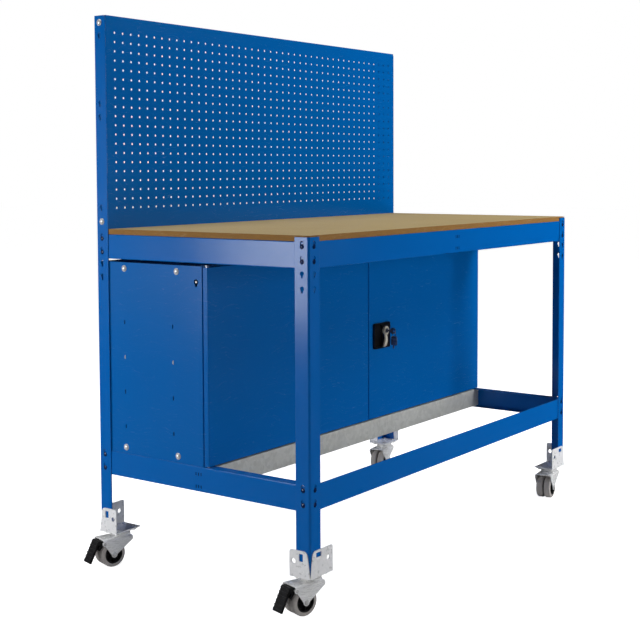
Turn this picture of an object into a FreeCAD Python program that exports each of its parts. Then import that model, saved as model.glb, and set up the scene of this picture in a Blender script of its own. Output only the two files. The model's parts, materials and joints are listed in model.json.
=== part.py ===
import FreeCAD, Part
import math
import os

# Mobile assembly bench.  A boltless steel frame of angle uprights and folded beams carries a
# wooden worktop, a perforated back panel and, under the rear half, a two-door cupboard.  It
# rolls on four swivel castors with twin wheels; the two on the left have brake pedals.
# Millimetres.  X runs left to right along the front, Y from front to back and Z up.  The
# origin is on the floor, under the middle of the frame.

Vector = FreeCAD.Vector
ORIGIN = Vector(0, 0, 0)
AXIS_X = Vector(1, 0, 0)
AXIS_Y = Vector(0, 1, 0)
AXIS_Z = Vector(0, 0, 1)

# ---- frame ----
frame_width = 1500.0            # over the outer faces of the uprights
frame_depth = 750.0
worktop_height = 972.0          # floor to the working surface
worktop_thickness = 15.0
upright_leg = 45.0              # leg of the angle section
upright_thickness = 2.0
upright_bend = 4.0              # inner bend radius
upright_tip_chamfer = 7.0       # at the top of the rear uprights
upright_below_worktop = 4.0     # the front uprights end this far under the working surface
beam_height = 69.0
beam_thickness = 1.5
beam_bend = 1.5
beam_shelf_flange = 30.0        # inward flange on top, which carries boards
beam_rear_shelf = 56.0          # the top rear beam's, under the board's edge and the back panel
beam_stiffening_flange = 14.0   # inward flange below
lower_beam_top = 338.5          # floor to the top of the lower beams
flange_corner_gap = 1.0         # between the flanges of two beams that meet at a corner
fit_gap = 0.5                   # general assembly clearance
overshoot = 1.0                 # how far a cutter passes the face it opens

# ---- keyholes and rivets of the boltless joints ----
keyhole_pitch = 38.1
keyhole_head_radius = 6.0
keyhole_slot_radius = 3.2
keyhole_drop = 8.5              # from the round head's centre down to the slot's end
keyhole_from_corner = 22.0      # from the upright's outer corner
rivet_below_beam_top = 13.0
rivets_per_beam_end = 2
spare_keyholes = 2              # under the top beam's rivets
keyhole_above_slot = 5.0        # from the slot's end up to the pitch line
middle_pitch_line = 1286.0      # a free pair of keyholes halfway up each rear upright
rivet_shank_radius = 3.1
rivet_head_radius = 6.5
rivet_head_height = 2.4
rivet_tail_height = 1.6

# ---- pressed slits at mid-length of the beams ----
slit_depth = 0.9                # they don't go through the web
slit_width = 3.0
slit_height = 9.0
slit_spacing = 9.0
slit_rows = (21.0, 55.0)        # below the beam's top

# ---- perforated back panel ----
panel_rise = 599.0              # from the working surface to the panel's top
panel_thickness = 1.2
panel_fold = 38.0               # depth of the panel with its edging
panel_lap = 14.0                # edging's flange behind the sheet
panel_bend = 1.6
hole_radius = 3.0
hole_columns = 45
hole_rows = 20
hole_pitch_x = 32.4
hole_pitch_z = 26.0
hole_top_margin = 46.5          # from the panel's top edge to the first row
panel_bolt_above_worktop = 20.5
panel_bolt_below_top = 19.5

# ---- cupboard ----
cupboard_depth = 381.0
cupboard_rear_gap = 11.0        # from the frame's rear face
cupboard_head_gap = 8.0         # below the top beams
cupboard_side_gap = 0.5         # beside the side beams' webs
sheet = 1.0                     # cupboard sheet thickness
sheet_bend = 1.0
side_fold = 24.0                # folded edges of the side panels
tray_fold = 36.0                # folded edges of the floor and the roof
shelf_height = 624.0            # floor to the shelf's top
shelf_fold = 22.0
shelf_setback = 22.0            # behind the cupboard's front edge
shelf_side_gap = 1.5
clip_column_a = 272.0
clip_column_b = 90.0
clip_row_first = 415.5
clip_row_pitch = 98.6
clip_row_count = 4
clip_slit_width = 3.5
clip_slit_height = 11.0
clip_length = 18.0
clip_thickness = 2.5
clip_tongue_height = 7.0
clip_tongue_gap = 0.2           # beside the tongue in its slit
stud_hole_y = 4.0               # keyhole near the front of each side panel
stud_hole_height = 837.0
stud_hole_radius = 7.8
stud_slot_radius = 3.6
stud_slot_drop = 12.2

# ---- doors ----
door_thickness = 16.0
door_gap = 4.0                  # between a door's back and the cupboard's front edge
door_edge_radius = 3.0
door_seam_x = 26.0              # the doors meet right of the middle
door_seam_gap = 3.0
door_bottom_gap = 2.2           # above the lower beams
door_top_gap = 1.5              # below the roof
door_return = 18.0              # folded back edge inside the door
hinge_from_edge = 8.0           # hinge axis to the door's outer edge
hinge_pin_radius = 3.5
hinge_running_clearance = 0.06
hinge_boss_radius = 6.5
hinge_boss_height = 14.0
hinge_pin_reach = 11.0          # length of the pin inside the boss
hinge_head_radius = 6.0
hinge_head_height = 2.0
roof_lip = 2.0                  # how far the roof stands past the doors' front

# ---- galvanised rail under the cupboard's front ----
rail_height = 61.0
rail_thickness = 1.5
rail_flange = 30.0
rail_lip = 15.0                 # folded edge below
rail_past_door = 2.0            # its front face stands this far ahead of the doors

# ---- dome bolts ----
dome_radius = 9.5
dome_height = 4.6
dome_shank_radius = 4.0
dome_hole_radius = 4.2
dome_nut_radius = 7.0
dome_nut_height = 6.0
dome_thread_proud = 2.0         # past the nut
side_bolt_from_end = 17.5       # from the cupboard's top and bottom edges
side_bolt_y = (272.0, 75.0)

# ---- lock ----
lock_left = 50.0
lock_width = 92.0
lock_height = 82.0
lock_centre_height = 604.0
lock_plate_depth = 7.0
lock_corner_radius = 6.0
lock_recess_width = 36.0
lock_recess_depth = 4.5
lever_from_right = 36.0         # lever axis to the plate's right edge
lever_above_centre = 16.0
lever_head_radius = 15.0
lever_depth = 9.0
lever_length = 42.0
lever_tip_radius = 9.0
lever_neck = 7.6                # half the arm's width at the head
lever_tip_shift = 8.0           # the tip stands this far towards the hinge-free edge
lever_standoff = 1.5            # gap between the lever's arm and the plate
lever_boss_radius = 11.0
lever_boss_gap = 0.05
spindle_radius = 5.0
cam_length = 34.0
cam_width = 16.0
cam_thickness = 3.0
cam_inside = 5.5                # behind the door's face sheet
barrel_radius = 7.0
barrel_proud = 1.6
barrel_gap = 0.06
barrel_bore_depth = 7.0         # in the lever's head
barrel_end_gap = 0.5            # behind the barrel
key_blade_width = 5.0
key_blade_length = 14.0
key_blade_root = 1.0            # inside the barrel
key_bow_radius = 10.0
key_bow_overlap = 3.0           # of the blade and the bow
key_bow_hole_radius = 3.0
key_bow_hole_offset = 4.5       # in front of the bow's middle
key_thickness = 2.2
key_ring_radius = 9.0
key_ring_wire = 0.8
tag_width = 22.0
tag_length = 30.0
tag_thickness = 2.6
tag_corner_radius = 5.0
tag_hole_radius = 2.2
tag_hole_from_top = 4.5
hanging_gap = 0.2               # between a ring and what hangs on it

# ---- castors ----
castor_height = 100.0           # floor to the top of the castor's plate
castor_plate_x = 84.0
castor_plate_y = 58.0
castor_plate_thickness = 3.0
castor_bolt_x = 66.0            # bolt pattern of the plate
castor_bolt_y = 40.0
castor_bolt_radius = 3.0
castor_bolt_hole_radius = 3.3
castor_bolt_head_radius = 5.6
castor_bolt_head_height = 3.8
wheel_diameter = 75.0
wheel_width = 24.0
wheel_gap = 3.0                 # between the two wheels of a castor
tyre_wall = 10.5
tyre_edge_radius = 5.0
tyre_seat_gap = 0.1
tyre_side_inset = 1.0           # the tyre and the hub's rim stand back from the wheel's width
hub_rim = 3.0
hub_web = 6.0
hub_boss_radius = 9.5
hub_side_gap = 1.0              # between a hub and the fork's leg
axle_radius = 4.0
axle_running_clearance = 0.06
axle_hole_clearance = 0.1       # in the fork's legs
axle_head_radius = 7.0
axle_head_height = 3.0
fork_trail = 36.0               # swivel axis to wheel axis
fork_thickness = 2.5
fork_bend = 3.0
fork_back = 70.0                # crown behind the swivel axis
fork_front = 24.0               # crown ahead of the swivel axis
fork_crown_top = 84.0           # above the floor
fork_side_depth = 11.0          # straight part of the legs at both ends
fork_toe_radius = 9.0
race_gap = 0.5                  # between the race and the crown
race_radius = 27.0
race_shoulder_radius = 21.0
race_shoulder = 4.5
kingpin_radius = 6.0
kingpin_clearance = 0.06
kingpin_head_radius = 10.0
kingpin_head_height = 2.6
left_castor_angle = -16.6       # turn of the two left castors about their swivel axes
right_castor_angle = 8.4

# ---- corner brackets between castors and uprights ----
bracket_thickness = 3.0
bracket_x = 95.0                # base, from the upright's outer corner
bracket_y = 65.0
bracket_plate_height = 67.0
bracket_plate_thickness = 2.5
bracket_corner_radius = 13.0
bracket_vee = 9.0               # the plates lean apart by this much at the top corner
bracket_front_slot = (33.0, 12.5, 22.0, 12.5)    # from the corner, below the top, width, height
bracket_side_slot = (28.0, 18.0, 12.5, 20.0)
bracket_hole_radius = 6.3
bracket_front_hole_from_end = 20.0
bracket_side_hole_from_end = 13.5
bracket_hole_below_top = 29.0

# ---- brake pedals ----
pedal_pivot_back = 66.0         # behind the swivel axis
pedal_pivot_height = 72.0
pedal_pin_radius = 3.0
pedal_pin_clearance = 0.06
pedal_hub_radius = 6.0
pedal_width = 36.0
pedal_pad_top = (15.0, 10.0)    # behind and above the pivot
pedal_pad_foot = (45.0, 50.0)   # behind and below the pivot
pedal_pad_thickness = 7.0
pedal_arm_inset = 0.5           # the arm is thinner than the hub by this much on each side
pedal_ear_radius = 6.5          # of the fork's ears round the pedal's pin
pedal_pin_head_radius = 4.6
pedal_pin_head_height = 1.6
pedal_travel = 10.0             # degrees
pedal_shoe_gap = 0.7            # between the shoe and the tyre once the pedal is down
pedal_shoe_thickness = 7.0
pedal_shoe_angle = 31.0         # degrees, from the wheel's rear up to where the shoe meets it
pedal_shoe_above = 13.0         # length of the shoe's flat face above that place
pedal_shoe_below = 9.0
pedal_rib_count = 6
pedal_rib_height = 1.6
pedal_rib_width = 3.2

# ---- derived places ----
left_face = -frame_width / 2
front_face = -frame_depth / 2
rear_face = frame_depth / 2
upright_base = castor_height + bracket_thickness
top_beam_top = worktop_height - worktop_thickness
top_beam_bottom = top_beam_top - beam_height
front_upright_top = worktop_height - upright_below_worktop
panel_bottom = top_beam_top + fit_gap
panel_top = worktop_height + panel_rise
panel_front = rear_face - upright_leg
panel_half_width = frame_width / 2 - upright_thickness - fit_gap
web_outside = upright_thickness                   # beam web's outer face, in from the frame's face
web_inside = web_outside + beam_thickness
beam_end = upright_thickness + upright_bend + fit_gap   # beam's end, in from the frame's face
cupboard_outside = left_face + web_inside + cupboard_side_gap
cupboard_bottom = lower_beam_top
cupboard_top = top_beam_bottom - cupboard_head_gap
cupboard_rear = rear_face - cupboard_rear_gap
cupboard_front = cupboard_rear - cupboard_depth
door_back = cupboard_front - door_gap
door_front = door_back - door_thickness
door_bottom = lower_beam_top + door_bottom_gap
door_top = cupboard_top - sheet - door_top_gap
hinge_x = -(cupboard_outside + hinge_from_edge)   # right door; the left one is mirrored
hinge_y = (door_back + door_front) / 2
rail_front = door_front - rail_past_door
rail_top = lower_beam_top - beam_thickness
lever_x = lock_left + lock_width - lever_from_right
lever_z = lock_centre_height + lever_above_centre
lock_face = door_front - lock_plate_depth
wheel_radius = wheel_diameter / 2
fork_inner = wheel_width + wheel_gap / 2 + hub_side_gap
fork_outer = fork_inner + fork_thickness
castor_x = left_face + bracket_x / 2
castor_y = front_face + bracket_y / 2


# ---- basic solids ----
def box(x0, x1, y0, y1, z0, z1):
    """Box between two corners."""
    low = Vector(min(x0, x1), min(y0, y1), min(z0, z1))
    return Part.makeBox(abs(x1 - x0), abs(y1 - y0), abs(z1 - z0), low)


def cylinder(radius, length, base, direction):
    """Cylinder from the centre of its base, along a direction."""
    return Part.makeCylinder(radius, length, base, direction)


def prism(points, direction):
    """Polygon swept along a direction."""
    wire = Part.makePolygon(points + [points[0]])
    return Part.Face(wire).extrude(direction)


def fillet_lines(solid, radius, lines, direction):
    """Round the straight edges that run along a direction through the given points."""
    chosen = []
    for edge in solid.Edges:
        start = edge.Vertexes[0].Point
        end = edge.Vertexes[-1].Point
        along = end - start
        if along.Length < 1e-6 or along.cross(direction).Length > 1e-6 * along.Length:
            continue
        for point in lines:
            if (start - point).cross(direction).Length < 1e-4:
                chosen.append(edge)
    return solid.makeFillet(radius, chosen)


def folded_strip(outline, thickness, inner_radius, direction):
    """Sheet folded along its outer outline, which turns clockwise when seen along the direction."""
    unit = direction / direction.Length
    count = len(outline)
    inner = []
    for index, point in enumerate(outline):
        normals = []
        if index > 0:
            normals.append(unit.cross((point - outline[index - 1]).normalize()))
        if index < count - 1:
            normals.append(unit.cross((outline[index + 1] - point).normalize()))
        mitre = normals[0] + normals[-1]
        inner.append(point + mitre * (2 * thickness / mitre.Length ** 2))
    solid = prism(outline + inner[::-1], direction)
    solid = fillet_lines(solid, inner_radius + thickness, outline[1:-1], unit)
    return fillet_lines(solid, inner_radius, inner[1:-1], unit)


def hex_prism(radius, height, base, direction):
    """Hexagonal nut or head; radius is half its size across the corners."""
    turn = FreeCAD.Rotation(AXIS_Z, direction)
    points = []
    for step in range(6):
        angle = math.radians(60 * step)
        points.append(base + turn.multVec(Vector(radius * math.cos(angle), radius * math.sin(angle), 0)))
    return prism(points, direction * height)


def domed(radius, height, profile, base, direction):
    """Turned piece: a low dome that points away from the direction, then (radius, distance) steps."""
    sphere_radius = (radius ** 2 + height ** 2) / (2 * height)
    half_angle = math.asin(radius / sphere_radius) / 2
    apex = Vector(0, 0, -height)
    middle = Vector(sphere_radius * math.sin(half_angle), 0,
                    sphere_radius - height - sphere_radius * math.cos(half_angle))
    rim = Vector(radius, 0, 0)
    points = [rim] + [Vector(step_radius, 0, along) for step_radius, along in profile] + [apex]
    edges = [Part.Arc(apex, middle, rim).toShape()]
    for start, end in zip(points, points[1:]):
        edges.append(Part.makeLine(start, end))
    solid = Part.Face(Part.Wire(edges)).revolve(ORIGIN, AXIS_Z, 360)
    solid.Placement = FreeCAD.Placement(base, FreeCAD.Rotation(AXIS_Z, direction))
    return solid


def mirrored_x(solid):
    """The same piece on the other side, left to right."""
    return solid.mirror(ORIGIN, AXIS_X)


def mirrored_y(solid):
    """The same piece at the other end, front to back."""
    return solid.mirror(ORIGIN, AXIS_Y)


def to_corner(solid, right, rear):
    """Piece of the front left corner, mirrored to another corner."""
    if right:
        solid = mirrored_x(solid)
    if rear:
        solid = mirrored_y(solid)
    return solid


# ---- uprights ----
def keyhole(place, height, along_x):
    """Cutter for one keyhole; place is its distance along the frame's face."""
    depth = 4 * upright_thickness
    if along_x:
        start = Vector(place, front_face - upright_thickness, height)
        direction = AXIS_Y
        slot = box(place - keyhole_slot_radius, place + keyhole_slot_radius,
                   start.y, start.y + depth, height, height + keyhole_drop)
    else:
        start = Vector(left_face - upright_thickness, place, height)
        direction = AXIS_X
        slot = box(start.x, start.x + depth, place - keyhole_slot_radius,
                   place + keyhole_slot_radius, height, height + keyhole_drop)
    end = cylinder(keyhole_slot_radius, depth, start, direction)
    head = cylinder(keyhole_head_radius, depth, start + AXIS_Z * keyhole_drop, direction)
    return slot.fuse([end, head])


def rivet_heights():
    """Heights of the beam rivets in one upright."""
    heights = []
    for beam_top in (top_beam_top, lower_beam_top):
        for step in range(rivets_per_beam_end):
            heights.append(beam_top - rivet_below_beam_top - step * keyhole_pitch)
    return heights


def upright(rear):
    """Angle upright of the left side, with its keyholes."""
    top = panel_top if rear else front_upright_top
    outline = [
        Vector(left_face, front_face + upright_leg, upright_base),
        Vector(left_face, front_face, upright_base),
        Vector(left_face + upright_leg, front_face, upright_base),
    ]
    solid = folded_strip(outline, upright_thickness, upright_bend, AXIS_Z * (top - upright_base))
    heights = rivet_heights()
    first_spare = top_beam_top - rivet_below_beam_top - rivets_per_beam_end * keyhole_pitch
    for step in range(spare_keyholes):
        heights.append(first_spare - step * keyhole_pitch)
    if rear:
        low_bolt, high_bolt = panel_bolt_heights()
        for pitch_line in (middle_pitch_line, middle_pitch_line + keyhole_pitch,
                           low_bolt + keyhole_pitch, high_bolt - keyhole_pitch):
            heights.append(pitch_line - keyhole_above_slot)
    cutters = []
    for height in heights:
        cutters.append(keyhole(left_face + keyhole_from_corner, height, True))
        cutters.append(keyhole(front_face + keyhole_from_corner, height, False))
    if rear:
        for height in panel_bolt_heights():
            cutters.append(bolt_hole(left_face, front_face + keyhole_from_corner, height))
        cutters += tip_chamfers(top)
    return solid.cut(cutters)


def tip_chamfers(top):
    """Cutters that chamfer both flanges at the upright's top."""
    reach = upright_leg
    cut = upright_tip_chamfer
    side = [Vector(left_face, front_face + reach, top), Vector(left_face, front_face + reach - cut, top),
            Vector(left_face, front_face + reach, top - cut)]
    end = [Vector(left_face + reach, front_face, top), Vector(left_face + reach - cut, front_face, top),
           Vector(left_face + reach, front_face, top - cut)]
    return [prism(side, AXIS_X * upright_thickness), prism(end, AXIS_Y * upright_thickness)]


def bolt_hole(x, y, z):
    """Cutter through sheets that face left, about a point on their left face."""
    return cylinder(dome_hole_radius, 20 * upright_thickness,
                    Vector(x - 2 * upright_thickness, y, z), AXIS_X)


def panel_bolt_heights():
    """Heights of the bolts that hold the back panel."""
    return [worktop_height + panel_bolt_above_worktop, panel_top - panel_bolt_below_top]


# ---- beams ----
def beam_section(length_from, length_to, top, side, shelf_width):
    """Folded beam seen along its length: web outside, flanges inwards, no shelf if its width is 0."""
    bottom = top - beam_height
    if side:
        face = left_face + web_outside
        shelf = Vector(face + shelf_width, length_from, top)
        upper = Vector(face, length_from, top)
        lower = Vector(face, length_from, bottom)
        lip = Vector(face + beam_stiffening_flange, length_from, bottom)
        direction = AXIS_Y * (length_to - length_from)
        return folded_strip([lip, lower, upper, shelf], beam_thickness, beam_bend, direction)
    face = front_face + web_outside
    shelf = Vector(length_from, face + shelf_width, top)
    upper = Vector(length_from, face, top)
    lower = Vector(length_from, face, bottom)
    lip = Vector(length_from, face + beam_stiffening_flange, bottom)
    direction = AXIS_X * (length_to - length_from)
    outline = [shelf, upper, lower, lip] if shelf_width else [upper, lower, lip]
    return folded_strip(outline, beam_thickness, beam_bend, direction)


def slit_cutters(top, side):
    """Two rows of small blind slits in the web's outer face, at the beam's mid-length."""
    cutters = []
    floor = web_outside + slit_depth
    for drop in slit_rows:
        for step in (-1, 0, 1):
            place = step * slit_spacing
            low = top - drop - slit_height / 2
            high = low + slit_height
            if side:
                cutters.append(box(left_face, left_face + floor,
                                   place - slit_width / 2, place + slit_width / 2, low, high))
            else:
                cutters.append(box(place - slit_width / 2, place + slit_width / 2,
                                   front_face, front_face + floor, low, high))
    return cutters


def rivet_hole_cutters(top, side, half_length):
    """Holes in the beam's web for the rivets at both ends."""
    cutters = []
    for step in range(rivets_per_beam_end):
        height = top - rivet_below_beam_top - step * keyhole_pitch
        for end in (-1, 1):
            place = end * (half_length - keyhole_from_corner)
            if side:
                base = Vector(left_face, place, height)
                direction = AXIS_X
            else:
                base = Vector(place, front_face, height)
                direction = AXIS_Y
            cutters.append(cylinder(rivet_shank_radius, 4 * beam_thickness, base, direction))
    return cutters


def flange_relief(top):
    """Cutters that clear a side beam's flanges where the beams round its corners end."""
    cutters = []
    for end in (-1, 1):
        shelf = beam_rear_shelf if end > 0 and top == top_beam_top else beam_shelf_flange
        reach = shelf + web_outside + flange_corner_gap
        corner = end * frame_depth / 2
        cutters.append(box(left_face + web_inside + fit_gap, left_face + 2 * beam_shelf_flange,
                           corner, corner - end * reach, top - beam_height, top))
    return cutters


def beam(top, side, shelf_width=beam_shelf_flange, slits=False):
    """One beam at the front or the left of the frame."""
    half = frame_depth / 2 if side else frame_width / 2
    solid = beam_section(-half + beam_end, half - beam_end, top, side, shelf_width)
    cutters = rivet_hole_cutters(top, side, half)
    if side:
        cutters += flange_relief(top)
    if slits:
        cutters += slit_cutters(top, side)
    return solid.cut(cutters)


def lower_side_beam():
    """Lower left beam, with the hole for the door's hinge pin in its flange."""
    solid = beam(lower_beam_top, True, slits=True)
    pin_hole = cylinder(hinge_pin_radius + 2 * hinge_running_clearance, beam_height,
                        Vector(-hinge_x, hinge_y, lower_beam_top - beam_height / 2), AXIS_Z)
    return solid.cut(pin_hole)


def rivet(place, height, along_x):
    """Beam rivet: domed head outside the upright, tail inside the beam."""
    grip = upright_thickness + beam_thickness
    if along_x:
        outside = Vector(place, front_face, height)
        inward = AXIS_Y
    else:
        outside = Vector(left_face, place, height)
        inward = AXIS_X
    tail_radius = rivet_head_radius - rivet_head_height / 2
    end = grip + rivet_tail_height
    profile = [(rivet_shank_radius, 0), (rivet_shank_radius, grip), (tail_radius, grip), (tail_radius, end),
               (0, end)]
    return domed(rivet_head_radius, rivet_head_height, profile, outside, inward)


def corner_rivets():
    """Rivets of the front left corner."""
    rivets = []
    for height in rivet_heights():
        rivets.append(rivet(left_face + keyhole_from_corner, height, True))
        rivets.append(rivet(front_face + keyhole_from_corner, height, False))
    return rivets


# ---- worktop and back panel ----
def worktop():
    """Board on the top beams' flanges, from the front uprights back to the back panel."""
    inset = upright_thickness + fit_gap
    half_x = frame_width / 2 - inset
    front = front_face + inset
    solid = box(-half_x, half_x, front, panel_front - fit_gap, top_beam_top, worktop_height)
    corners = []
    for sign in (-1, 1):
        corners.append(Vector(sign * half_x, front, top_beam_top))
    return fillet_lines(solid, upright_bend + fit_gap, corners, AXIS_Z)


def pegboard():
    """Flat front sheet of the back panel with its grid of holes."""
    outer = Part.makePolygon([
        Vector(-panel_half_width, panel_front, panel_bottom),
        Vector(panel_half_width, panel_front, panel_bottom),
        Vector(panel_half_width, panel_front, panel_top),
        Vector(-panel_half_width, panel_front, panel_top),
        Vector(-panel_half_width, panel_front, panel_bottom),
    ])
    wires = [outer]
    first_x = -(hole_columns - 1) * hole_pitch_x / 2
    first_z = panel_top - hole_top_margin
    for row in range(hole_rows):
        for column in range(hole_columns):
            centre = Vector(first_x + column * hole_pitch_x, panel_front, first_z - row * hole_pitch_z)
            wires.append(Part.Wire([Part.makeCircle(hole_radius, centre, AXIS_Y)]))
    face = Part.makeFace(wires, "Part::FaceMakerBullseye")
    return face.extrude(AXIS_Y * panel_thickness)


def left_edging():
    """Folded strip behind the back panel's left edge, bolted to the upright."""
    near = panel_front + panel_thickness
    outline = [
        Vector(-panel_half_width, panel_front + panel_fold, panel_bottom),
        Vector(-panel_half_width, near, panel_bottom),
        Vector(-panel_half_width + panel_lap, near, panel_bottom),
    ]
    strip = folded_strip(outline, panel_thickness, panel_bend, AXIS_Z * (panel_top - panel_bottom))
    holes = []
    for height in panel_bolt_heights():
        holes.append(bolt_hole(-panel_half_width, rear_face - keyhole_from_corner, height))
    return strip.cut(holes)


def lower_edging():
    """Folded strip behind the back panel's lower edge, between the side strips."""
    left = -panel_half_width + panel_lap + fit_gap
    near = panel_front + panel_thickness
    outline = [
        Vector(left, near, panel_bottom + panel_lap),
        Vector(left, near, panel_bottom),
        Vector(left, panel_front + panel_fold, panel_bottom),
    ]
    return folded_strip(outline, panel_thickness, panel_bend, AXIS_X * (-2 * left))


def panel_edging():
    """The four strips that stiffen the back panel."""
    side = left_edging()
    lower = lower_edging()
    middle = Vector(0, 0, (panel_bottom + panel_top) / 2)
    return [side, mirrored_x(side), lower, lower.mirror(middle, AXIS_Z)]


# ---- dome bolts ----
def dome_bolt(x, y, z, grip):
    """Dome bolt from the left, with its nut; x is the face under the head."""
    face = Vector(x, y, z)
    end = grip + dome_nut_height + dome_thread_proud
    profile = [(dome_shank_radius, 0), (dome_shank_radius, end), (0, end)]
    bolt = domed(dome_radius, dome_height, profile, face, AXIS_X)
    nut = hex_prism(dome_nut_radius, dome_nut_height, Vector(x + grip, y, z), AXIS_X)
    return [bolt, nut.cut(cylinder(dome_shank_radius, dome_nut_height, Vector(x + grip, y, z), AXIS_X))]


def side_bolt_heights():
    """Heights of the bolts that hold the cupboard's side panels."""
    return [cupboard_bottom + side_bolt_from_end, cupboard_top - side_bolt_from_end]


def left_dome_bolts():
    """Dome bolts of the cupboard's left side and of the back panel's left edge."""
    solids = []
    for height in side_bolt_heights():
        for place in side_bolt_y:
            solids += dome_bolt(cupboard_outside, place, height, 2 * sheet)
    grip = upright_thickness + fit_gap + panel_thickness
    for height in panel_bolt_heights():
        solids += dome_bolt(left_face, rear_face - keyhole_from_corner, height, grip)
    return solids


# ---- cupboard ----
def clip_rows():
    """Heights of the rows of shelf clip slits."""
    return [clip_row_first + step * clip_row_pitch for step in range(clip_row_count)]


def left_side_panel():
    """Side sheet of the cupboard with folded front and rear edges."""
    left = cupboard_outside
    outline = [
        Vector(left + side_fold, cupboard_rear, cupboard_bottom),
        Vector(left, cupboard_rear, cupboard_bottom),
        Vector(left, cupboard_front, cupboard_bottom),
        Vector(left + side_fold, cupboard_front, cupboard_bottom),
    ]
    solid = folded_strip(outline, sheet, sheet_bend, AXIS_Z * (cupboard_top - cupboard_bottom))
    cutters = []
    for height in side_bolt_heights():
        for place in side_bolt_y:
            cutters.append(bolt_hole(left, place, height))
    for column in (clip_column_a, clip_column_b):
        for row in clip_rows():
            cutters.append(box(left - sheet, left + 2 * sheet, column - clip_slit_width / 2,
                               column + clip_slit_width / 2, row - clip_slit_height / 2,
                               row + clip_slit_height / 2))
    head = Vector(left - sheet, stud_hole_y, stud_hole_height)
    cutters.append(cylinder(stud_hole_radius, 3 * sheet, head, AXIS_X))
    cutters.append(box(left - sheet, left + 2 * sheet, stud_hole_y - stud_slot_radius,
                       stud_hole_y + stud_slot_radius, stud_hole_height - stud_slot_drop, stud_hole_height))
    return solid.cut(cutters)


def tray_holes(solid):
    """Bolt holes in the side folds of the floor or the roof."""
    cutters = []
    for height in side_bolt_heights():
        for place in side_bolt_y:
            hole = bolt_hole(cupboard_outside, place, height)
            cutters.append(hole)
            cutters.append(mirrored_x(hole))
    return solid.cut(cutters)


def tray_length():
    """Depth of the floor and the roof, between the front folds and the back sheet."""
    return cupboard_depth - 3 * sheet - sheet_bend


def cupboard_floor():
    """Floor sheet with its sides folded up against the side panels."""
    left = cupboard_outside + sheet
    front = cupboard_front + sheet + sheet_bend
    outline = [
        Vector(-left, front, cupboard_bottom + tray_fold),
        Vector(-left, front, cupboard_bottom),
        Vector(left, front, cupboard_bottom),
        Vector(left, front, cupboard_bottom + tray_fold),
    ]
    return tray_holes(folded_strip(outline, sheet, sheet_bend, AXIS_Y * tray_length()))


def cupboard_roof():
    """Roof sheet, folded down at the sides, with a lip over the doors."""
    left = cupboard_outside + sheet
    front = cupboard_front + sheet + sheet_bend
    outline = [
        Vector(left, front, cupboard_top - tray_fold),
        Vector(left, front, cupboard_top),
        Vector(-left, front, cupboard_top),
        Vector(-left, front, cupboard_top - tray_fold),
    ]
    solid = tray_holes(folded_strip(outline, sheet, sheet_bend, AXIS_Y * tray_length()))
    lip = box(-hinge_x - hinge_from_edge, hinge_x + hinge_from_edge, door_front - roof_lip,
              front + sheet, cupboard_top, cupboard_top + sheet)
    holes = []
    for x in (-hinge_x, hinge_x):
        holes.append(cylinder(hinge_pin_radius + hinge_running_clearance, 4 * sheet,
                              Vector(x, hinge_y, cupboard_top - sheet), AXIS_Z))
    lip = lip.cut(holes)
    tie = box(left + side_fold, -left - side_fold, front, front + side_fold, cupboard_top - sheet / 2,
              cupboard_top + sheet)
    return solid.fuse([lip, tie]).removeSplitter()


def cupboard_back():
    """Back sheet, screwed inside the rear folds of the side panels."""
    left = cupboard_outside + sheet + sheet_bend + fit_gap
    rear = cupboard_rear - sheet
    return box(left, -left, rear - sheet, rear, cupboard_bottom + sheet, cupboard_top - sheet)


def cupboard_shelf():
    """Shelf with its front and rear edges folded down."""
    left = cupboard_outside + sheet + shelf_side_gap
    front = cupboard_front + shelf_setback
    rear = cupboard_rear - 2 * sheet - shelf_side_gap
    outline = [
        Vector(left, rear, shelf_height - shelf_fold),
        Vector(left, rear, shelf_height),
        Vector(left, front, shelf_height),
        Vector(left, front, shelf_height - shelf_fold),
    ]
    return folded_strip(outline, sheet, sheet_bend, AXIS_X * (-2 * left))


def left_shelf_clips():
    """Clips hooked in the left panel's slits, under the shelf."""
    clips = []
    top = shelf_height - sheet
    inside = cupboard_outside + sheet
    for column in (clip_column_a, clip_column_b):
        foot = box(inside, inside + clip_length, column - clip_length / 2, column + clip_length / 2,
                   top - clip_thickness, top)
        plate = box(inside, inside + clip_thickness, column - clip_length / 2, column + clip_length / 2,
                    top - clip_length, top)
        half_tongue = clip_slit_width / 2 - clip_tongue_gap
        tongue = box(cupboard_outside - sheet, inside, column - half_tongue, column + half_tongue,
                     nearest_row(top) - clip_tongue_height / 2, nearest_row(top) + clip_tongue_height / 2)
        clips.append(foot.fuse([plate, tongue]))
    return clips


def nearest_row(height):
    """The row of slits just under the shelf."""
    rows = [row for row in clip_rows() if row < height]
    return max(rows) if rows else clip_row_first


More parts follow.
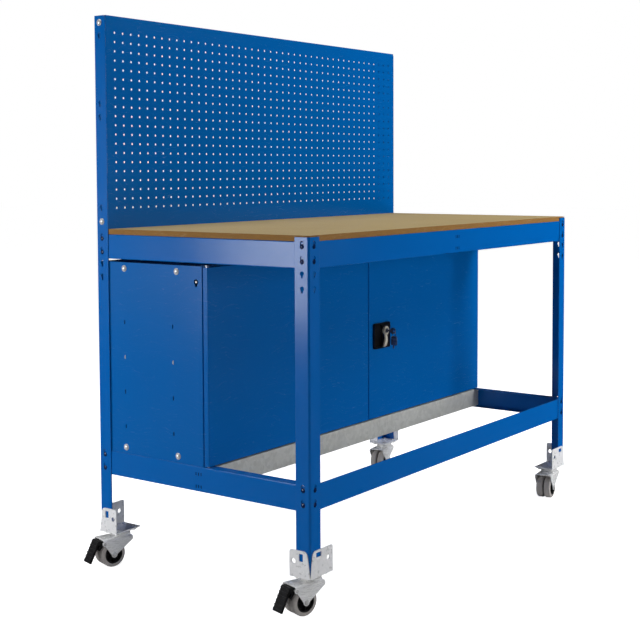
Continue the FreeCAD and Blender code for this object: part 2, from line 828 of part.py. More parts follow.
# ---- doors ----
def door(seam, outer, hinge):
    """Hollow sheet door between its seam edge and its outer edge."""
    low_x = min(seam, outer)
    high_x = max(seam, outer)
    solid = box(low_x, high_x, door_front, door_back, door_bottom, door_top)
    rounded = []
    for x in (low_x, high_x):
        rounded.append(Vector(x, door_front, door_bottom))
    solid = fillet_lines(solid, door_edge_radius, rounded, AXIS_Z)
    hollow = box(low_x + sheet, high_x - sheet, door_front + sheet, door_back - sheet,
                 door_bottom + sheet, door_top - sheet)
    inner = []
    for x in (low_x + sheet, high_x - sheet):
        inner.append(Vector(x, door_front + sheet, door_bottom + sheet))
    hollow = fillet_lines(hollow, door_edge_radius - sheet, inner, AXIS_Z)
    window = box(low_x + door_return, high_x - door_return, door_back - 2 * sheet, door_back + sheet,
                 door_bottom + door_return, door_top - door_return)
    solid = solid.cut([hollow, window])
    bosses = []
    for base in (door_bottom, door_top - hinge_boss_height):
        bosses.append(cylinder(hinge_boss_radius, hinge_boss_height, Vector(hinge, hinge_y, base), AXIS_Z))
    solid = solid.fuse(bosses)
    bore = cylinder(hinge_pin_radius + hinge_running_clearance, frame_width,
                    Vector(hinge, hinge_y, 0), AXIS_Z)
    return solid.cut(bore)


def left_door():
    """Door hinged at the left."""
    return door(door_seam_x - door_seam_gap / 2, cupboard_outside, -hinge_x)


def right_door():
    """Door hinged at the right, bored for the lock's spindle."""
    solid = door(door_seam_x + door_seam_gap / 2, -cupboard_outside, hinge_x)
    hole = cylinder(spindle_radius + lever_boss_gap, door_thickness,
                    Vector(lever_x, door_front - sheet, lever_z), AXIS_Y)
    return solid.cut(hole)


def hinge_pins():
    """Four headed pins: two up from the rail, two down from the roof's lip."""
    pins = []
    for x in (-hinge_x, hinge_x):
        low = rail_top - rail_thickness
        shank = cylinder(hinge_pin_radius, door_bottom + hinge_pin_reach - low,
                         Vector(x, hinge_y, low), AXIS_Z)
        head = cylinder(hinge_head_radius, hinge_head_height,
                        Vector(x, hinge_y, low - hinge_head_height), AXIS_Z)
        pins.append(shank.fuse(head))
        high = cupboard_top + sheet
        foot = door_top - hinge_pin_reach
        shank = cylinder(hinge_pin_radius, high - foot, Vector(x, hinge_y, foot), AXIS_Z)
        head = cylinder(hinge_head_radius, hinge_head_height, Vector(x, hinge_y, high), AXIS_Z)
        pins.append(shank.fuse(head))
    return pins


# ---- rail ----
def rail():
    """Galvanised rail between the lower side beams, under the doors."""
    left = left_face + web_inside + beam_bend
    outline = [
        Vector(left, rail_front + rail_flange, rail_top),
        Vector(left, rail_front, rail_top),
        Vector(left, rail_front, rail_top - rail_height),
        Vector(left, rail_front + rail_lip, rail_top - rail_height),
    ]
    solid = folded_strip(outline, rail_thickness, rail_thickness, AXIS_X * (-2 * left))
    lower_lip = beam_stiffening_flange + web_outside + fit_gap
    cutters = []
    for x in (-hinge_x, hinge_x):
        cutters.append(cylinder(hinge_pin_radius + hinge_running_clearance, 4 * rail_thickness,
                                Vector(x, hinge_y, rail_top - 2 * rail_thickness), AXIS_Z))
    relief_top = lower_beam_top - beam_height + 2 * beam_thickness
    for side in (-1, 1):
        edge = side * frame_width / 2
        cutters.append(box(edge, edge - side * lower_lip, rail_front - overshoot, rail_front + rail_flange,
                           lower_beam_top - 2 * beam_height, relief_top))
    return solid.cut(cutters)


# ---- lock ----
def lock_plate():
    """Escutcheon with a finger recess beside the lever."""
    low_z = lock_centre_height - lock_height / 2
    high_z = low_z + lock_height
    right = lock_left + lock_width
    solid = box(lock_left, right, lock_face, door_front, low_z, high_z)
    corners = []
    for x in (lock_left, right):
        for z in (low_z, high_z):
            corners.append(Vector(x, lock_face, z))
    solid = fillet_lines(solid, lock_corner_radius, corners, AXIS_Y)
    wall = lock_corner_radius
    recess = box(lock_left + wall, lock_left + wall + lock_recess_width, lock_face - overshoot,
                 lock_face + lock_recess_depth, low_z + wall, high_z - wall)
    rims = []
    for x in (lock_left + wall, lock_left + wall + lock_recess_width):
        for z in (low_z + wall, high_z - wall):
            rims.append(Vector(x, lock_face, z))
    recess = fillet_lines(recess, lock_corner_radius, rims, AXIS_Y)
    bore = cylinder(lever_boss_radius + lever_boss_gap, lock_plate_depth + 2 * overshoot,
                    Vector(lever_x, lock_face - overshoot, lever_z), AXIS_Y)
    return solid.cut([recess, bore])


def lock_lever():
    """Lever with a round head, a swept arm and a boss that turns in the plate."""
    back = lock_face - lever_standoff
    front = back - lever_depth
    axis = Vector(lever_x, front, lever_z)
    head = cylinder(lever_head_radius, lever_depth, axis, AXIS_Y)
    tip = Vector(lever_x - lever_tip_shift, front, lever_z - lever_length)
    tip_disc = cylinder(lever_tip_radius, lever_depth, tip, AXIS_Y)
    along = (tip - axis).normalize()
    across = Vector(along.z, 0, -along.x)
    arm = prism([axis + across * lever_neck, axis - across * lever_neck, tip - across * lever_tip_radius,
                 tip + across * lever_tip_radius], AXIS_Y * lever_depth)
    boss = cylinder(lever_boss_radius, door_front - fit_gap - back,
                    Vector(lever_x, back, lever_z), AXIS_Y)
    spindle = cylinder(spindle_radius, door_front + cam_inside + cam_thickness - back,
                       Vector(lever_x, back, lever_z), AXIS_Y)
    solid = head.fuse([tip_disc, arm, boss, spindle])
    bore = cylinder(barrel_radius + barrel_gap, barrel_bore_depth,
                    Vector(lever_x, front, lever_z), AXIS_Y)
    return solid.cut(bore)


def lock_cam():
    """Latch tongue on the spindle, behind the door's face."""
    near = door_front + cam_inside
    centre = Vector(lever_x, near, lever_z)
    disc = cylinder(cam_width / 2, cam_thickness, centre, AXIS_Y)
    tongue = box(lever_x - cam_length, lever_x, near, near + cam_thickness,
                 lever_z - cam_width / 2, lever_z + cam_width / 2)
    hole = cylinder(spindle_radius, cam_thickness, centre, AXIS_Y)
    return disc.fuse(tongue).cut(hole)


def lock_key():
    """Turning barrel with its key, and a ring with a tag hanging from the bow."""
    back = lock_face - lever_standoff
    front = back - lever_depth
    barrel_front = front - barrel_proud
    barrel = cylinder(barrel_radius, barrel_bore_depth - barrel_end_gap + barrel_proud,
                      Vector(lever_x, barrel_front, lever_z), AXIS_Y)
    half = key_thickness / 2
    blade = box(lever_x - half, lever_x + half, barrel_front - key_blade_length,
                barrel_front + key_blade_root, lever_z - key_blade_width / 2, lever_z + key_blade_width / 2)
    bow_y = barrel_front - key_blade_length - key_bow_radius + key_bow_overlap
    bow = cylinder(key_bow_radius, key_thickness, Vector(lever_x - half, bow_y, lever_z), AXIS_X)
    hole_y = bow_y - key_bow_hole_offset
    hole = cylinder(key_bow_hole_radius, 2 * key_thickness, Vector(lever_x - key_thickness, hole_y, lever_z),
                    AXIS_X)
    key = barrel.fuse([blade, bow]).cut(hole)
    ring_top = lever_z - key_bow_hole_radius + key_ring_wire + hanging_gap
    ring_z = ring_top - key_ring_radius
    ring = Part.makeTorus(key_ring_radius, key_ring_wire, Vector(lever_x, hole_y, ring_z), AXIS_Y)
    tag_hole_z = ring_z - key_ring_radius + key_ring_wire + hanging_gap - tag_hole_radius
    tag_top = tag_hole_z + tag_hole_from_top
    tag_left = lever_x - tag_thickness / 2
    tag = box(tag_left, tag_left + tag_thickness, hole_y - tag_width / 2, hole_y + tag_width / 2,
              tag_top - tag_length, tag_top)
    corners = []
    for y in (hole_y - tag_width / 2, hole_y + tag_width / 2):
        for z in (tag_top - tag_length, tag_top):
            corners.append(Vector(tag_left, y, z))
    tag = fillet_lines(tag, tag_corner_radius, corners, AXIS_X)
    tag_hole = cylinder(tag_hole_radius, tag_thickness, Vector(tag_left, hole_y, tag_hole_z), AXIS_X)
    return [key, ring, tag.cut(tag_hole)]


# ---- castor brackets and plates ----
def bracket_plate(length, slot_place, hole_from_end):
    """Upstanding plate with a slot and a hole: runs along X from the corner, behind the plane Y = 0."""
    top = bracket_plate_height
    outer_round = bracket_corner_radius / 2
    points = [
        Vector(0, 0, 0),
        Vector(bracket_vee, 0, top),
        Vector(length, 0, top),
        Vector(length, 0, 0),
    ]
    plate = prism(points, AXIS_Y * bracket_plate_thickness)
    plate = fillet_lines(plate, bracket_corner_radius, [points[1]], AXIS_Y)
    plate = fillet_lines(plate, outer_round, [points[2]], AXIS_Y)
    from_corner, below_top, width, height = slot_place
    slot = box(from_corner - width / 2, from_corner + width / 2, -overshoot,
               bracket_plate_thickness + overshoot, top - below_top - height / 2,
               top - below_top + height / 2)
    hole = cylinder(bracket_hole_radius, 3 * bracket_plate_thickness,
                    Vector(length - hole_from_end, -bracket_plate_thickness,
                           top - bracket_hole_below_top), AXIS_Y)
    return plate.cut([slot, hole])


def bracket():
    """Front left bracket: base under the upright, two plates outside its legs."""
    thickness = bracket_plate_thickness
    base = box(left_face - thickness, left_face + bracket_x, front_face - thickness,
               front_face + bracket_y, castor_height, upright_base)
    front_plate = bracket_plate(bracket_x, bracket_front_slot, bracket_front_hole_from_end)
    front_plate.translate(Vector(left_face, front_face - thickness, upright_base))
    side_plate = bracket_plate(bracket_y, bracket_side_slot, bracket_side_hole_from_end)
    side_plate.rotate(ORIGIN, AXIS_Z, 90)
    side_plate.translate(Vector(left_face, front_face, upright_base))
    return base.fuse([front_plate, side_plate]).cut(castor_bolt_cutters()).removeSplitter()


def castor_bolt_places():
    """Bolt centres of the front left castor."""
    places = []
    for sign_x in (-1, 1):
        for sign_y in (-1, 1):
            place_x = castor_x + sign_x * castor_bolt_x / 2
            places.append((place_x, castor_y + sign_y * castor_bolt_y / 2))
    return places


def castor_bolt_cutters():
    """Holes for the castor's bolts."""
    cutters = []
    low = castor_height - 2 * castor_plate_thickness
    for x, y in castor_bolt_places():
        cutters.append(cylinder(castor_bolt_hole_radius, 4 * castor_plate_thickness,
                                Vector(x, y, low), AXIS_Z))
    return cutters


def castor_bolts():
    """Bolts of the front left castor, heads up, nuts below."""
    solids = []
    nut_z = castor_height - castor_plate_thickness - castor_bolt_head_height
    for x, y in castor_bolt_places():
        foot = Vector(x, y, nut_z)
        head = hex_prism(castor_bolt_head_radius, castor_bolt_head_height, Vector(x, y, upright_base), AXIS_Z)
        shank = cylinder(castor_bolt_radius, upright_base - nut_z, foot, AXIS_Z)
        solids.append(head.fuse(shank))
        nut = hex_prism(castor_bolt_head_radius, castor_bolt_head_height, foot, AXIS_Z)
        solids.append(nut.cut(cylinder(castor_bolt_radius, castor_bolt_head_height, foot, AXIS_Z)))
    return solids


def castor_plate():
    """Front left castor's plate with its race and kingpin."""
    plate_low = castor_height - castor_plate_thickness
    plate = box(castor_x - castor_plate_x / 2, castor_x + castor_plate_x / 2,
                castor_y - castor_plate_y / 2, castor_y + castor_plate_y / 2, plate_low, castor_height)
    corners = []
    for sign_x in (-1, 1):
        for sign_y in (-1, 1):
            corners.append(Vector(castor_x + sign_x * castor_plate_x / 2,
                                  castor_y + sign_y * castor_plate_y / 2, plate_low))
    plate = fillet_lines(plate, castor_bolt_head_radius, corners, AXIS_Z)
    race_low = fork_crown_top + race_gap
    race_high = plate_low - race_shoulder
    race = cylinder(race_radius, race_high - race_low, Vector(castor_x, castor_y, race_low), AXIS_Z)
    shoulder = cylinder(race_shoulder_radius, plate_low - race_high,
                        Vector(castor_x, castor_y, race_high), AXIS_Z)
    head_top = fork_crown_top - fork_thickness - race_gap
    pin = cylinder(kingpin_radius, race_low - head_top, Vector(castor_x, castor_y, head_top), AXIS_Z)
    head = cylinder(kingpin_head_radius, kingpin_head_height,
                    Vector(castor_x, castor_y, head_top - kingpin_head_height), AXIS_Z)
    return plate.cut(castor_bolt_cutters()).fuse([race, shoulder, pin, head])


# ---- castor, built about its swivel axis with the wheels towards -X ----
def fork():
    """Folded fork: a crown over two tapering legs."""
    bottom = wheel_radius - fork_toe_radius
    crown = fork_crown_top
    outline = [
        Vector(-fork_back, fork_outer, bottom),
        Vector(-fork_back, fork_outer, crown),
        Vector(-fork_back, -fork_outer, crown),
        Vector(-fork_back, -fork_outer, bottom),
    ]
    solid = folded_strip(outline, fork_thickness, fork_bend, AXIS_X * (fork_back + fork_front))
    side = [
        Vector(-fork_back, -2 * fork_outer, crown),
        Vector(fork_front, -2 * fork_outer, crown),
        Vector(fork_front, -2 * fork_outer, crown - fork_side_depth),
        Vector(-fork_trail + fork_toe_radius, -2 * fork_outer, wheel_radius),
        Vector(-fork_trail - fork_toe_radius, -2 * fork_outer, wheel_radius),
        Vector(-fork_back, -2 * fork_outer, crown - fork_side_depth),
    ]
    shape = prism(side, AXIS_Y * (4 * fork_outer))
    toe = cylinder(fork_toe_radius, 4 * fork_outer,
                   Vector(-fork_trail, -2 * fork_outer, wheel_radius), AXIS_Y)
    solid = solid.common(shape.fuse(toe))
    pin_hole = cylinder(kingpin_radius + kingpin_clearance, 4 * fork_thickness,
                        Vector(0, 0, crown - 2 * fork_thickness), AXIS_Z)
    axle_hole = cylinder(axle_radius + axle_hole_clearance, 4 * fork_outer,
                         Vector(-fork_trail, -2 * fork_outer, wheel_radius), AXIS_Y)
    return solid.cut([pin_hole, axle_hole])


def braked_fork():
    """Fork with ears and holes for the brake pedal's pin."""
    ears = []
    for near in (-fork_outer, fork_inner):
        ears.append(cylinder(pedal_ear_radius, fork_thickness,
                             Vector(-pedal_pivot_back, near, pedal_pivot_height), AXIS_Y))
    hole = cylinder(pedal_pin_radius + pedal_pin_clearance, 4 * fork_outer,
                    Vector(-pedal_pivot_back, -2 * fork_outer, pedal_pivot_height), AXIS_Y)
    return fork().fuse(ears).cut(hole)


def axle_parts(braked):
    """Axle bolt, its nut and the spacer between the wheels, and the brake pedal's pin."""
    start = Vector(-fork_trail, -fork_outer, wheel_radius)
    end = 2 * fork_outer + axle_head_height
    axle = domed(axle_head_radius, axle_head_height, [(axle_radius, 0), (axle_radius, end), (0, end)],
                 start, AXIS_Y)
    nut_base = Vector(-fork_trail, fork_outer, wheel_radius)
    nut = hex_prism(axle_head_radius, axle_head_height, nut_base, AXIS_Y)
    nut = nut.cut(cylinder(axle_radius, axle_head_height, nut_base, AXIS_Y))
    solids = [axle, nut]
    if braked:
        pin_start = Vector(-pedal_pivot_back, -fork_outer, pedal_pivot_height)
        span = 2 * fork_outer
        profile = [(pedal_pin_radius, 0), (pedal_pin_radius, span), (pedal_pin_head_radius, span),
                   (pedal_pin_head_radius, span + pedal_pin_head_height), (0, span + pedal_pin_head_height)]
        solids.append(domed(pedal_pin_head_radius, pedal_pin_head_height, profile, pin_start, AXIS_Y))
    return solids


def turned_profile(points, side):
    """Ring turned about the wheel axis; points are (distance along the axis, radius)."""
    centre = Vector(-fork_trail, 0, wheel_radius)
    wire_points = []
    for along, radius in points:
        wire_points.append(centre + Vector(0, side * along, radius))
    face = Part.Face(Part.makePolygon(wire_points + [wire_points[0]]))
    return face.revolve(centre, AXIS_Y, 360)


def tyre(side):
    """Rubber tyre with rounded shoulders."""
    near = wheel_gap / 2
    far = near + wheel_width
    inner = wheel_radius - tyre_wall
    middle = (near + far) / 2
    half_band = wheel_width / 2 - tyre_side_inset
    ring = turned_profile([(middle - half_band, inner), (middle - half_band, wheel_radius),
                           (middle + half_band, wheel_radius), (middle + half_band, inner)], side)
    round_edges = []
    for edge in ring.Edges:
        if hasattr(edge.Curve, "Radius") and abs(edge.Curve.Radius - wheel_radius) < 1e-4:
            round_edges.append(edge)
    return ring.makeFillet(tyre_edge_radius, round_edges)


def hub(side):
    """Plastic hub: rim, web and a boss that runs on the axle."""
    near = wheel_gap / 2
    far = near + wheel_width
    middle = (near + far) / 2
    rim_outer = wheel_radius - tyre_wall - tyre_seat_gap
    rim_inner = rim_outer - hub_rim
    bore = axle_radius + axle_running_clearance
    boss_near = near - wheel_gap / 2 + tyre_seat_gap
    return turned_profile([
        (boss_near, bore), (boss_near, hub_boss_radius),
        (middle - hub_web / 2, hub_boss_radius), (middle - hub_web / 2, rim_inner),
        (near + tyre_side_inset, rim_inner), (near + tyre_side_inset, rim_outer),
        (far - tyre_side_inset, rim_outer), (far - tyre_side_inset, rim_inner),
        (middle + hub_web / 2, rim_inner), (middle + hub_web / 2, hub_boss_radius),
        (far, hub_boss_radius), (far, bore),
    ], side)


def brake_pedal():
    """Ribbed pad on an arm that pivots behind the wheels, with its shoe."""
    half = pedal_width / 2
    pivot = Vector(-pedal_pivot_back, -half, pedal_pivot_height)
    pad_top = pivot + Vector(-pedal_pad_top[0], 0, pedal_pad_top[1])
    pad_foot = pivot + Vector(-pedal_pad_foot[0], 0, -pedal_pad_foot[1])
    along = (pad_foot - pad_top).normalize()
    outward = Vector(along.z, 0, -along.x)
    inward = outward * -pedal_pad_thickness
    pad = prism([pad_top, pad_foot, pad_foot + inward, pad_top + inward], AXIS_Y * pedal_width)
    half_arm = Vector(0, 0, pedal_hub_radius - pedal_arm_inset)
    arm = prism([
        pivot + half_arm,
        pad_top - outward,
        pad_top + inward + along * pedal_pad_thickness * 2,
        pivot - half_arm,
    ], AXIS_Y * pedal_width)
    hub_solid = cylinder(pedal_hub_radius, pedal_width, pivot, AXIS_Y)
    ribs = []
    run = (pad_foot - pad_top).Length
    for index in range(pedal_rib_count):
        start = pad_top + along * (run * (index + 0.5) / pedal_rib_count - pedal_rib_width / 2)
        end = start + along * pedal_rib_width
        rise = outward * pedal_rib_height
        ribs.append(prism([start, end, end + rise, start + rise], AXIS_Y * pedal_width))
    bore = cylinder(pedal_pin_radius + pedal_pin_clearance, pedal_width, pivot, AXIS_Y)
    return pad.fuse([arm, hub_solid, brake_shoe()] + ribs).cut(bore)


def brake_shoe():
    """Flat-faced shoe, drawn where it brakes, then swung back by the pedal's travel."""
    half = pedal_width / 2
    centre = Vector(-fork_trail, -half, wheel_radius)
    pivot = Vector(-pedal_pivot_back, -half, pedal_pivot_height)
    angle = math.radians(pedal_shoe_angle)
    outward = Vector(-math.cos(angle), 0, math.sin(angle))
    upward = Vector(math.sin(angle), 0, math.cos(angle))
    face = centre + outward * (wheel_radius + pedal_shoe_gap)
    top = face + upward * pedal_shoe_above
    foot = face - upward * pedal_shoe_below
    back = outward * pedal_shoe_thickness
    shoe = prism([foot, top, top + back, foot + back], AXIS_Y * pedal_width)
    shoe.rotate(pivot, AXIS_Y, pedal_travel)
    return shoe


def placed(solids, right, rear):
    """Castor pieces turned to their rest angle and set under one corner."""
    angle = right_castor_angle if right else left_castor_angle
    place_x = -castor_x if right else castor_x
    place_y = -castor_y if rear else castor_y
    moved = []
    for solid in solids:
        piece = solid.copy()
        piece.rotate(ORIGIN, AXIS_Z, angle)
        piece.translate(Vector(place_x, place_y, 0))
        moved.append(piece)
    return moved


# ---- all pieces ----
def corner_names():
    """Corner name with its two flags: on the right, at the rear."""
    return [("front_left", False, False), ("front_right", True, False),
            ("rear_left", False, True), ("rear_right", True, True)]


def frame_pieces():
    """Uprights, beams, rivets, worktop, back panel, rail and bolts."""
    pieces = {}
    front = upright(False)
    rear = upright(True)
    for name, right, at_rear in corner_names():
        pieces["upright_" + name] = [to_corner(rear if at_rear else front, right, at_rear)]
    top_front = beam(top_beam_top, False, slits=True)
    top_left = beam(top_beam_top, True)
    lower_left = lower_side_beam()
    lower_rear = beam(lower_beam_top, False)
    top_rear = beam(top_beam_top, False, beam_rear_shelf, slits=True)
    pieces["top_beam_front"] = [top_front]
    pieces["top_beam_rear"] = [mirrored_y(top_rear)]
    pieces["top_beam_left"] = [top_left]
    pieces["top_beam_right"] = [mirrored_x(top_left)]
    pieces["lower_beam_front"] = [beam(lower_beam_top, False, 0)]
    pieces["lower_beam_rear"] = [mirrored_y(lower_rear)]
    pieces["lower_beam_left"] = [lower_left]
    pieces["lower_beam_right"] = [mirrored_x(lower_left)]
    rivets = []
    for name, right, at_rear in corner_names():
        for solid in corner_rivets():
            rivets.append(to_corner(solid, right, at_rear))
    pieces["beam_rivets"] = rivets
    pieces["worktop"] = [worktop()]
    pieces["pegboard"] = [pegboard()]
    pieces["pegboard_edging"] = panel_edging()
    pieces["cupboard_rail"] = [rail()]
    bolts = left_dome_bolts()
    pieces["dome_bolts"] = bolts + [mirrored_x(solid) for solid in bolts]
    return pieces


def cupboard_pieces():
    """Sheets, shelf, doors and lock."""
    side = left_side_panel()
    clips = left_shelf_clips()
    return {
        "cupboard_side_left": [side],
        "cupboard_side_right": [mirrored_x(side)],
        "cupboard_back": [cupboard_back()],
        "cupboard_floor": [cupboard_floor()],
        "cupboard_roof": [cupboard_roof()],
        "cupboard_shelf": [cupboard_shelf()],
        "cupboard_fittings": clips + [mirrored_x(solid) for solid in clips] + hinge_pins(),
        "door_left": [left_door()],
        "door_right": [right_door()],
        "lock_plate": [lock_plate()],
        "lock_lever": [lock_lever()],
        "lock_cam": [lock_cam()],
        "lock_key": lock_key(),
    }


def castor_pieces():
    """Brackets, plates, bolts, forks, axles, wheels and brake pedals."""
    pieces = {"castor_brackets": [], "castor_plates": [], "castor_bolts": []}
    for name, right, at_rear in corner_names():
        pieces["castor_brackets"].append(to_corner(bracket(), right, at_rear))
        pieces["castor_plates"].append(to_corner(castor_plate(), right, at_rear))
        for solid in castor_bolts():
            pieces["castor_bolts"].append(to_corner(solid, right, at_rear))
        braked = not right
        body = braked_fork() if braked else fork()
        pieces["fork_" + name] = placed([body], right, at_rear)
        pieces["axle_" + name] = placed(axle_parts(braked), right, at_rear)
        for label, side in (("a", -1), ("b", 1)):
            pieces["tyre_" + name + "_" + label] = placed([tyre(side)], right, at_rear)
            pieces["hub_" + name + "_" + label] = placed([hub(side)], right, at_rear)
        if braked:
            pieces["brake_pedal_" + name] = placed([brake_pedal()], right, at_rear)
    return pieces


def main():
    """Build every node and write one STEP file for each."""
    os.makedirs("parts", exist_ok=True)
    pieces = {}
    pieces.update(frame_pieces())
    pieces.update(cupboard_pieces())
    pieces.update(castor_pieces())
    for name, solids in pieces.items():
        shape = solids[0] if len(solids) == 1 else Part.makeCompound(solids)
        for solid in solids:
            if not solid.isValid() or len(solid.Solids) != 1:
                print("check", name, len(solid.Solids), solid.isValid())
        shape.exportStep("parts/" + name + ".step")
    print(len(pieces), "nodes")


main()
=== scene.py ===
"""Looks of the mobile assembly bench: finishes, moulded and pressed details, studio and camera."""
import json
import logging
import math
from dataclasses import dataclass, replace
from enum import Enum
from typing import Any, Callable, Sequence

import bmesh
import bpy
from mathutils import Matrix, Vector


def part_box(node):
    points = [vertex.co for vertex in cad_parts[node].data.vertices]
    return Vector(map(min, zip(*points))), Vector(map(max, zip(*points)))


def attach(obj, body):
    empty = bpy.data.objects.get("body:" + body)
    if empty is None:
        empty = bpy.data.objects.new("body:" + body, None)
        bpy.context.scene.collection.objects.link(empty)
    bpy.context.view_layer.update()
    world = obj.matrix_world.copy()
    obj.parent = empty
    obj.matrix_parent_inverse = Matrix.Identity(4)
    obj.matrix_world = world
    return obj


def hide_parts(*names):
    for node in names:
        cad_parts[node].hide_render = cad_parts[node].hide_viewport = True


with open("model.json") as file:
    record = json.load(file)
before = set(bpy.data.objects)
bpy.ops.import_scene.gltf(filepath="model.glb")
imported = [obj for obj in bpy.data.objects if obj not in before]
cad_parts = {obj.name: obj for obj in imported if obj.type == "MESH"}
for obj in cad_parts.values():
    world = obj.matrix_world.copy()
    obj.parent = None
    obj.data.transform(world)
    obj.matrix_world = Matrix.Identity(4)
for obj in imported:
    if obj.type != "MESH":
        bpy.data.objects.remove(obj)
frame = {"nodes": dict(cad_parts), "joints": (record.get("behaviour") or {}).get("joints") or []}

LOG = logging.getLogger("bench")
MM = 0.001
LEFT = Vector((-1.0, 0.0, 0.0))
FRONT = Vector((0.0, -1.0, 0.0))
REAR = Vector((0.0, 1.0, 0.0))
UP = Vector((0.0, 0.0, 1.0))
ALONG_X = (0.0, math.pi / 2, 0.0)                       # turns that lay a cylinder down
ALONG_Y = (math.pi / 2, 0.0, 0.0)
WELD_WITHIN = 0.002                                     # CAD vertices this close are one, in mm
SOFT_FROM = math.radians(50.0)                          # CAD edges sharper than this are softened
HARD_FROM = math.radians(34.0)                          # and those left sharper than this stay hard
MIX_FACTOR, MIX_A, MIX_B, MIX_RESULT = 0, 6, 7, 2       # sockets of a Mix node set to colours
WHITE = (1.0, 1.0, 1.0, 1.0)
Colour = tuple[float, float, float]
Point = tuple[float, float, float]
Socket = bpy.types.NodeSocket
Test = Callable[[Vector, Vector], bool]


# ---------------------------------------------------------------- shader graphs


class Graph:
    """Adds and links the nodes of one shader tree."""

    def __init__(self, tree: bpy.types.NodeTree) -> None:
        """Wraps a node tree."""
        self.tree = tree

    def add(self, kind: str, inputs: dict[Any, Any] | None = None,
            **settings: Any) -> bpy.types.Node:
        """Adds one node.

        Args:
            kind: the node's type, without the ShaderNode prefix.
            inputs: values or sockets by input name or index.
            settings: attributes of the node itself.

        Returns:
            The new node.
        """
        node = self.tree.nodes.new("ShaderNode" + kind)
        for key, value in settings.items():
            setattr(node, key, value)
        for key, value in (inputs or {}).items():
            if isinstance(value, Socket):
                self.tree.links.new(value, node.inputs[key])
            else:
                node.inputs[key].default_value = value
        return node

    def maths(self, operation: str, first: Any, second: Any = 0.0, third: Any = 0.0,
              clamp: bool = False) -> Socket:
        """Adds a Math node and returns its output."""
        inputs = {0: first, 1: second, 2: third}
        return self.add("Math", inputs, operation=operation, use_clamp=clamp).outputs[0]

    def times(self, first: Any, second: Any, clamp: bool = False) -> Socket:
        """Multiplies two values."""
        return self.maths("MULTIPLY", first, second, clamp=clamp)

    def plus(self, first: Any, second: Any, clamp: bool = False) -> Socket:
        """Adds two values."""
        return self.maths("ADD", first, second, clamp=clamp)

    def ramp(self, value: Any, low: float, high: float, to_low: Any = 0.0,
             to_high: Any = 1.0) -> Socket:
        """Maps a value from one range to another, clamped."""
        inputs = {"Value": value, "From Min": low, "From Max": high,
                  "To Min": to_low, "To Max": to_high}
        return self.add("MapRange", inputs).outputs["Result"]

    def noise(self, vector: Any, scale: float = 1.0, detail: float = 3.0,
              roughness: float = 0.55) -> Socket:
        """Adds a noise texture and returns its value."""
        inputs = {"Vector": vector, "Scale": scale, "Detail": detail, "Roughness": roughness}
        return self.add("TexNoise", inputs).outputs["Fac"]

    def blend(self, factor: Any, first: Any, second: Any) -> Socket:
        """Mixes two colours.

        Args:
            factor: share of the second colour.
            first: one colour, as a socket or as three numbers.
            second: the other colour, likewise.

        Returns:
            The mixed colour.
        """
        pair = [tone if isinstance(tone, Socket) else (*tone, 1.0) for tone in (first, second)]
        inputs = {MIX_FACTOR: factor, MIX_A: pair[0], MIX_B: pair[1]}
        return self.add("Mix", inputs, data_type="RGBA").outputs[MIX_RESULT]

    def object_point(self, stretch: Sequence[float] = (1.0, 1.0, 1.0)) -> Socket:
        """Point on the piece in metres, stretched along each axis."""
        point = self.add("TexCoord").outputs["Object"]
        return self.add("Mapping", {"Vector": point, "Scale": stretch}).outputs["Vector"]

    def facing_up(self) -> Socket:
        """How far the surface looks up, from -1 to 1."""
        normal = self.add("NewGeometry").outputs["Normal"]
        return self.add("SeparateXYZ", {0: normal}).outputs["Z"]


class Effect(Enum):
    """Surface effects that several finishes share: each group's name, inputs and outputs."""

    WEAR = ("edge_wear", ("Radius", "Spread"), ("Mask", "Normal"))
    PEEL = ("orange_peel", ("Scale", "Fine scale"), ("Height",))
    CLOUD = ("cloud", ("Scale", "Low", "High"), ("Value",))
    DUST = ("settled_dust", ("Scale", "Amount"), ("Mask",))
    SCUFF = ("fine_scuffs", ("Scale", "Amount"), ("Mask",))


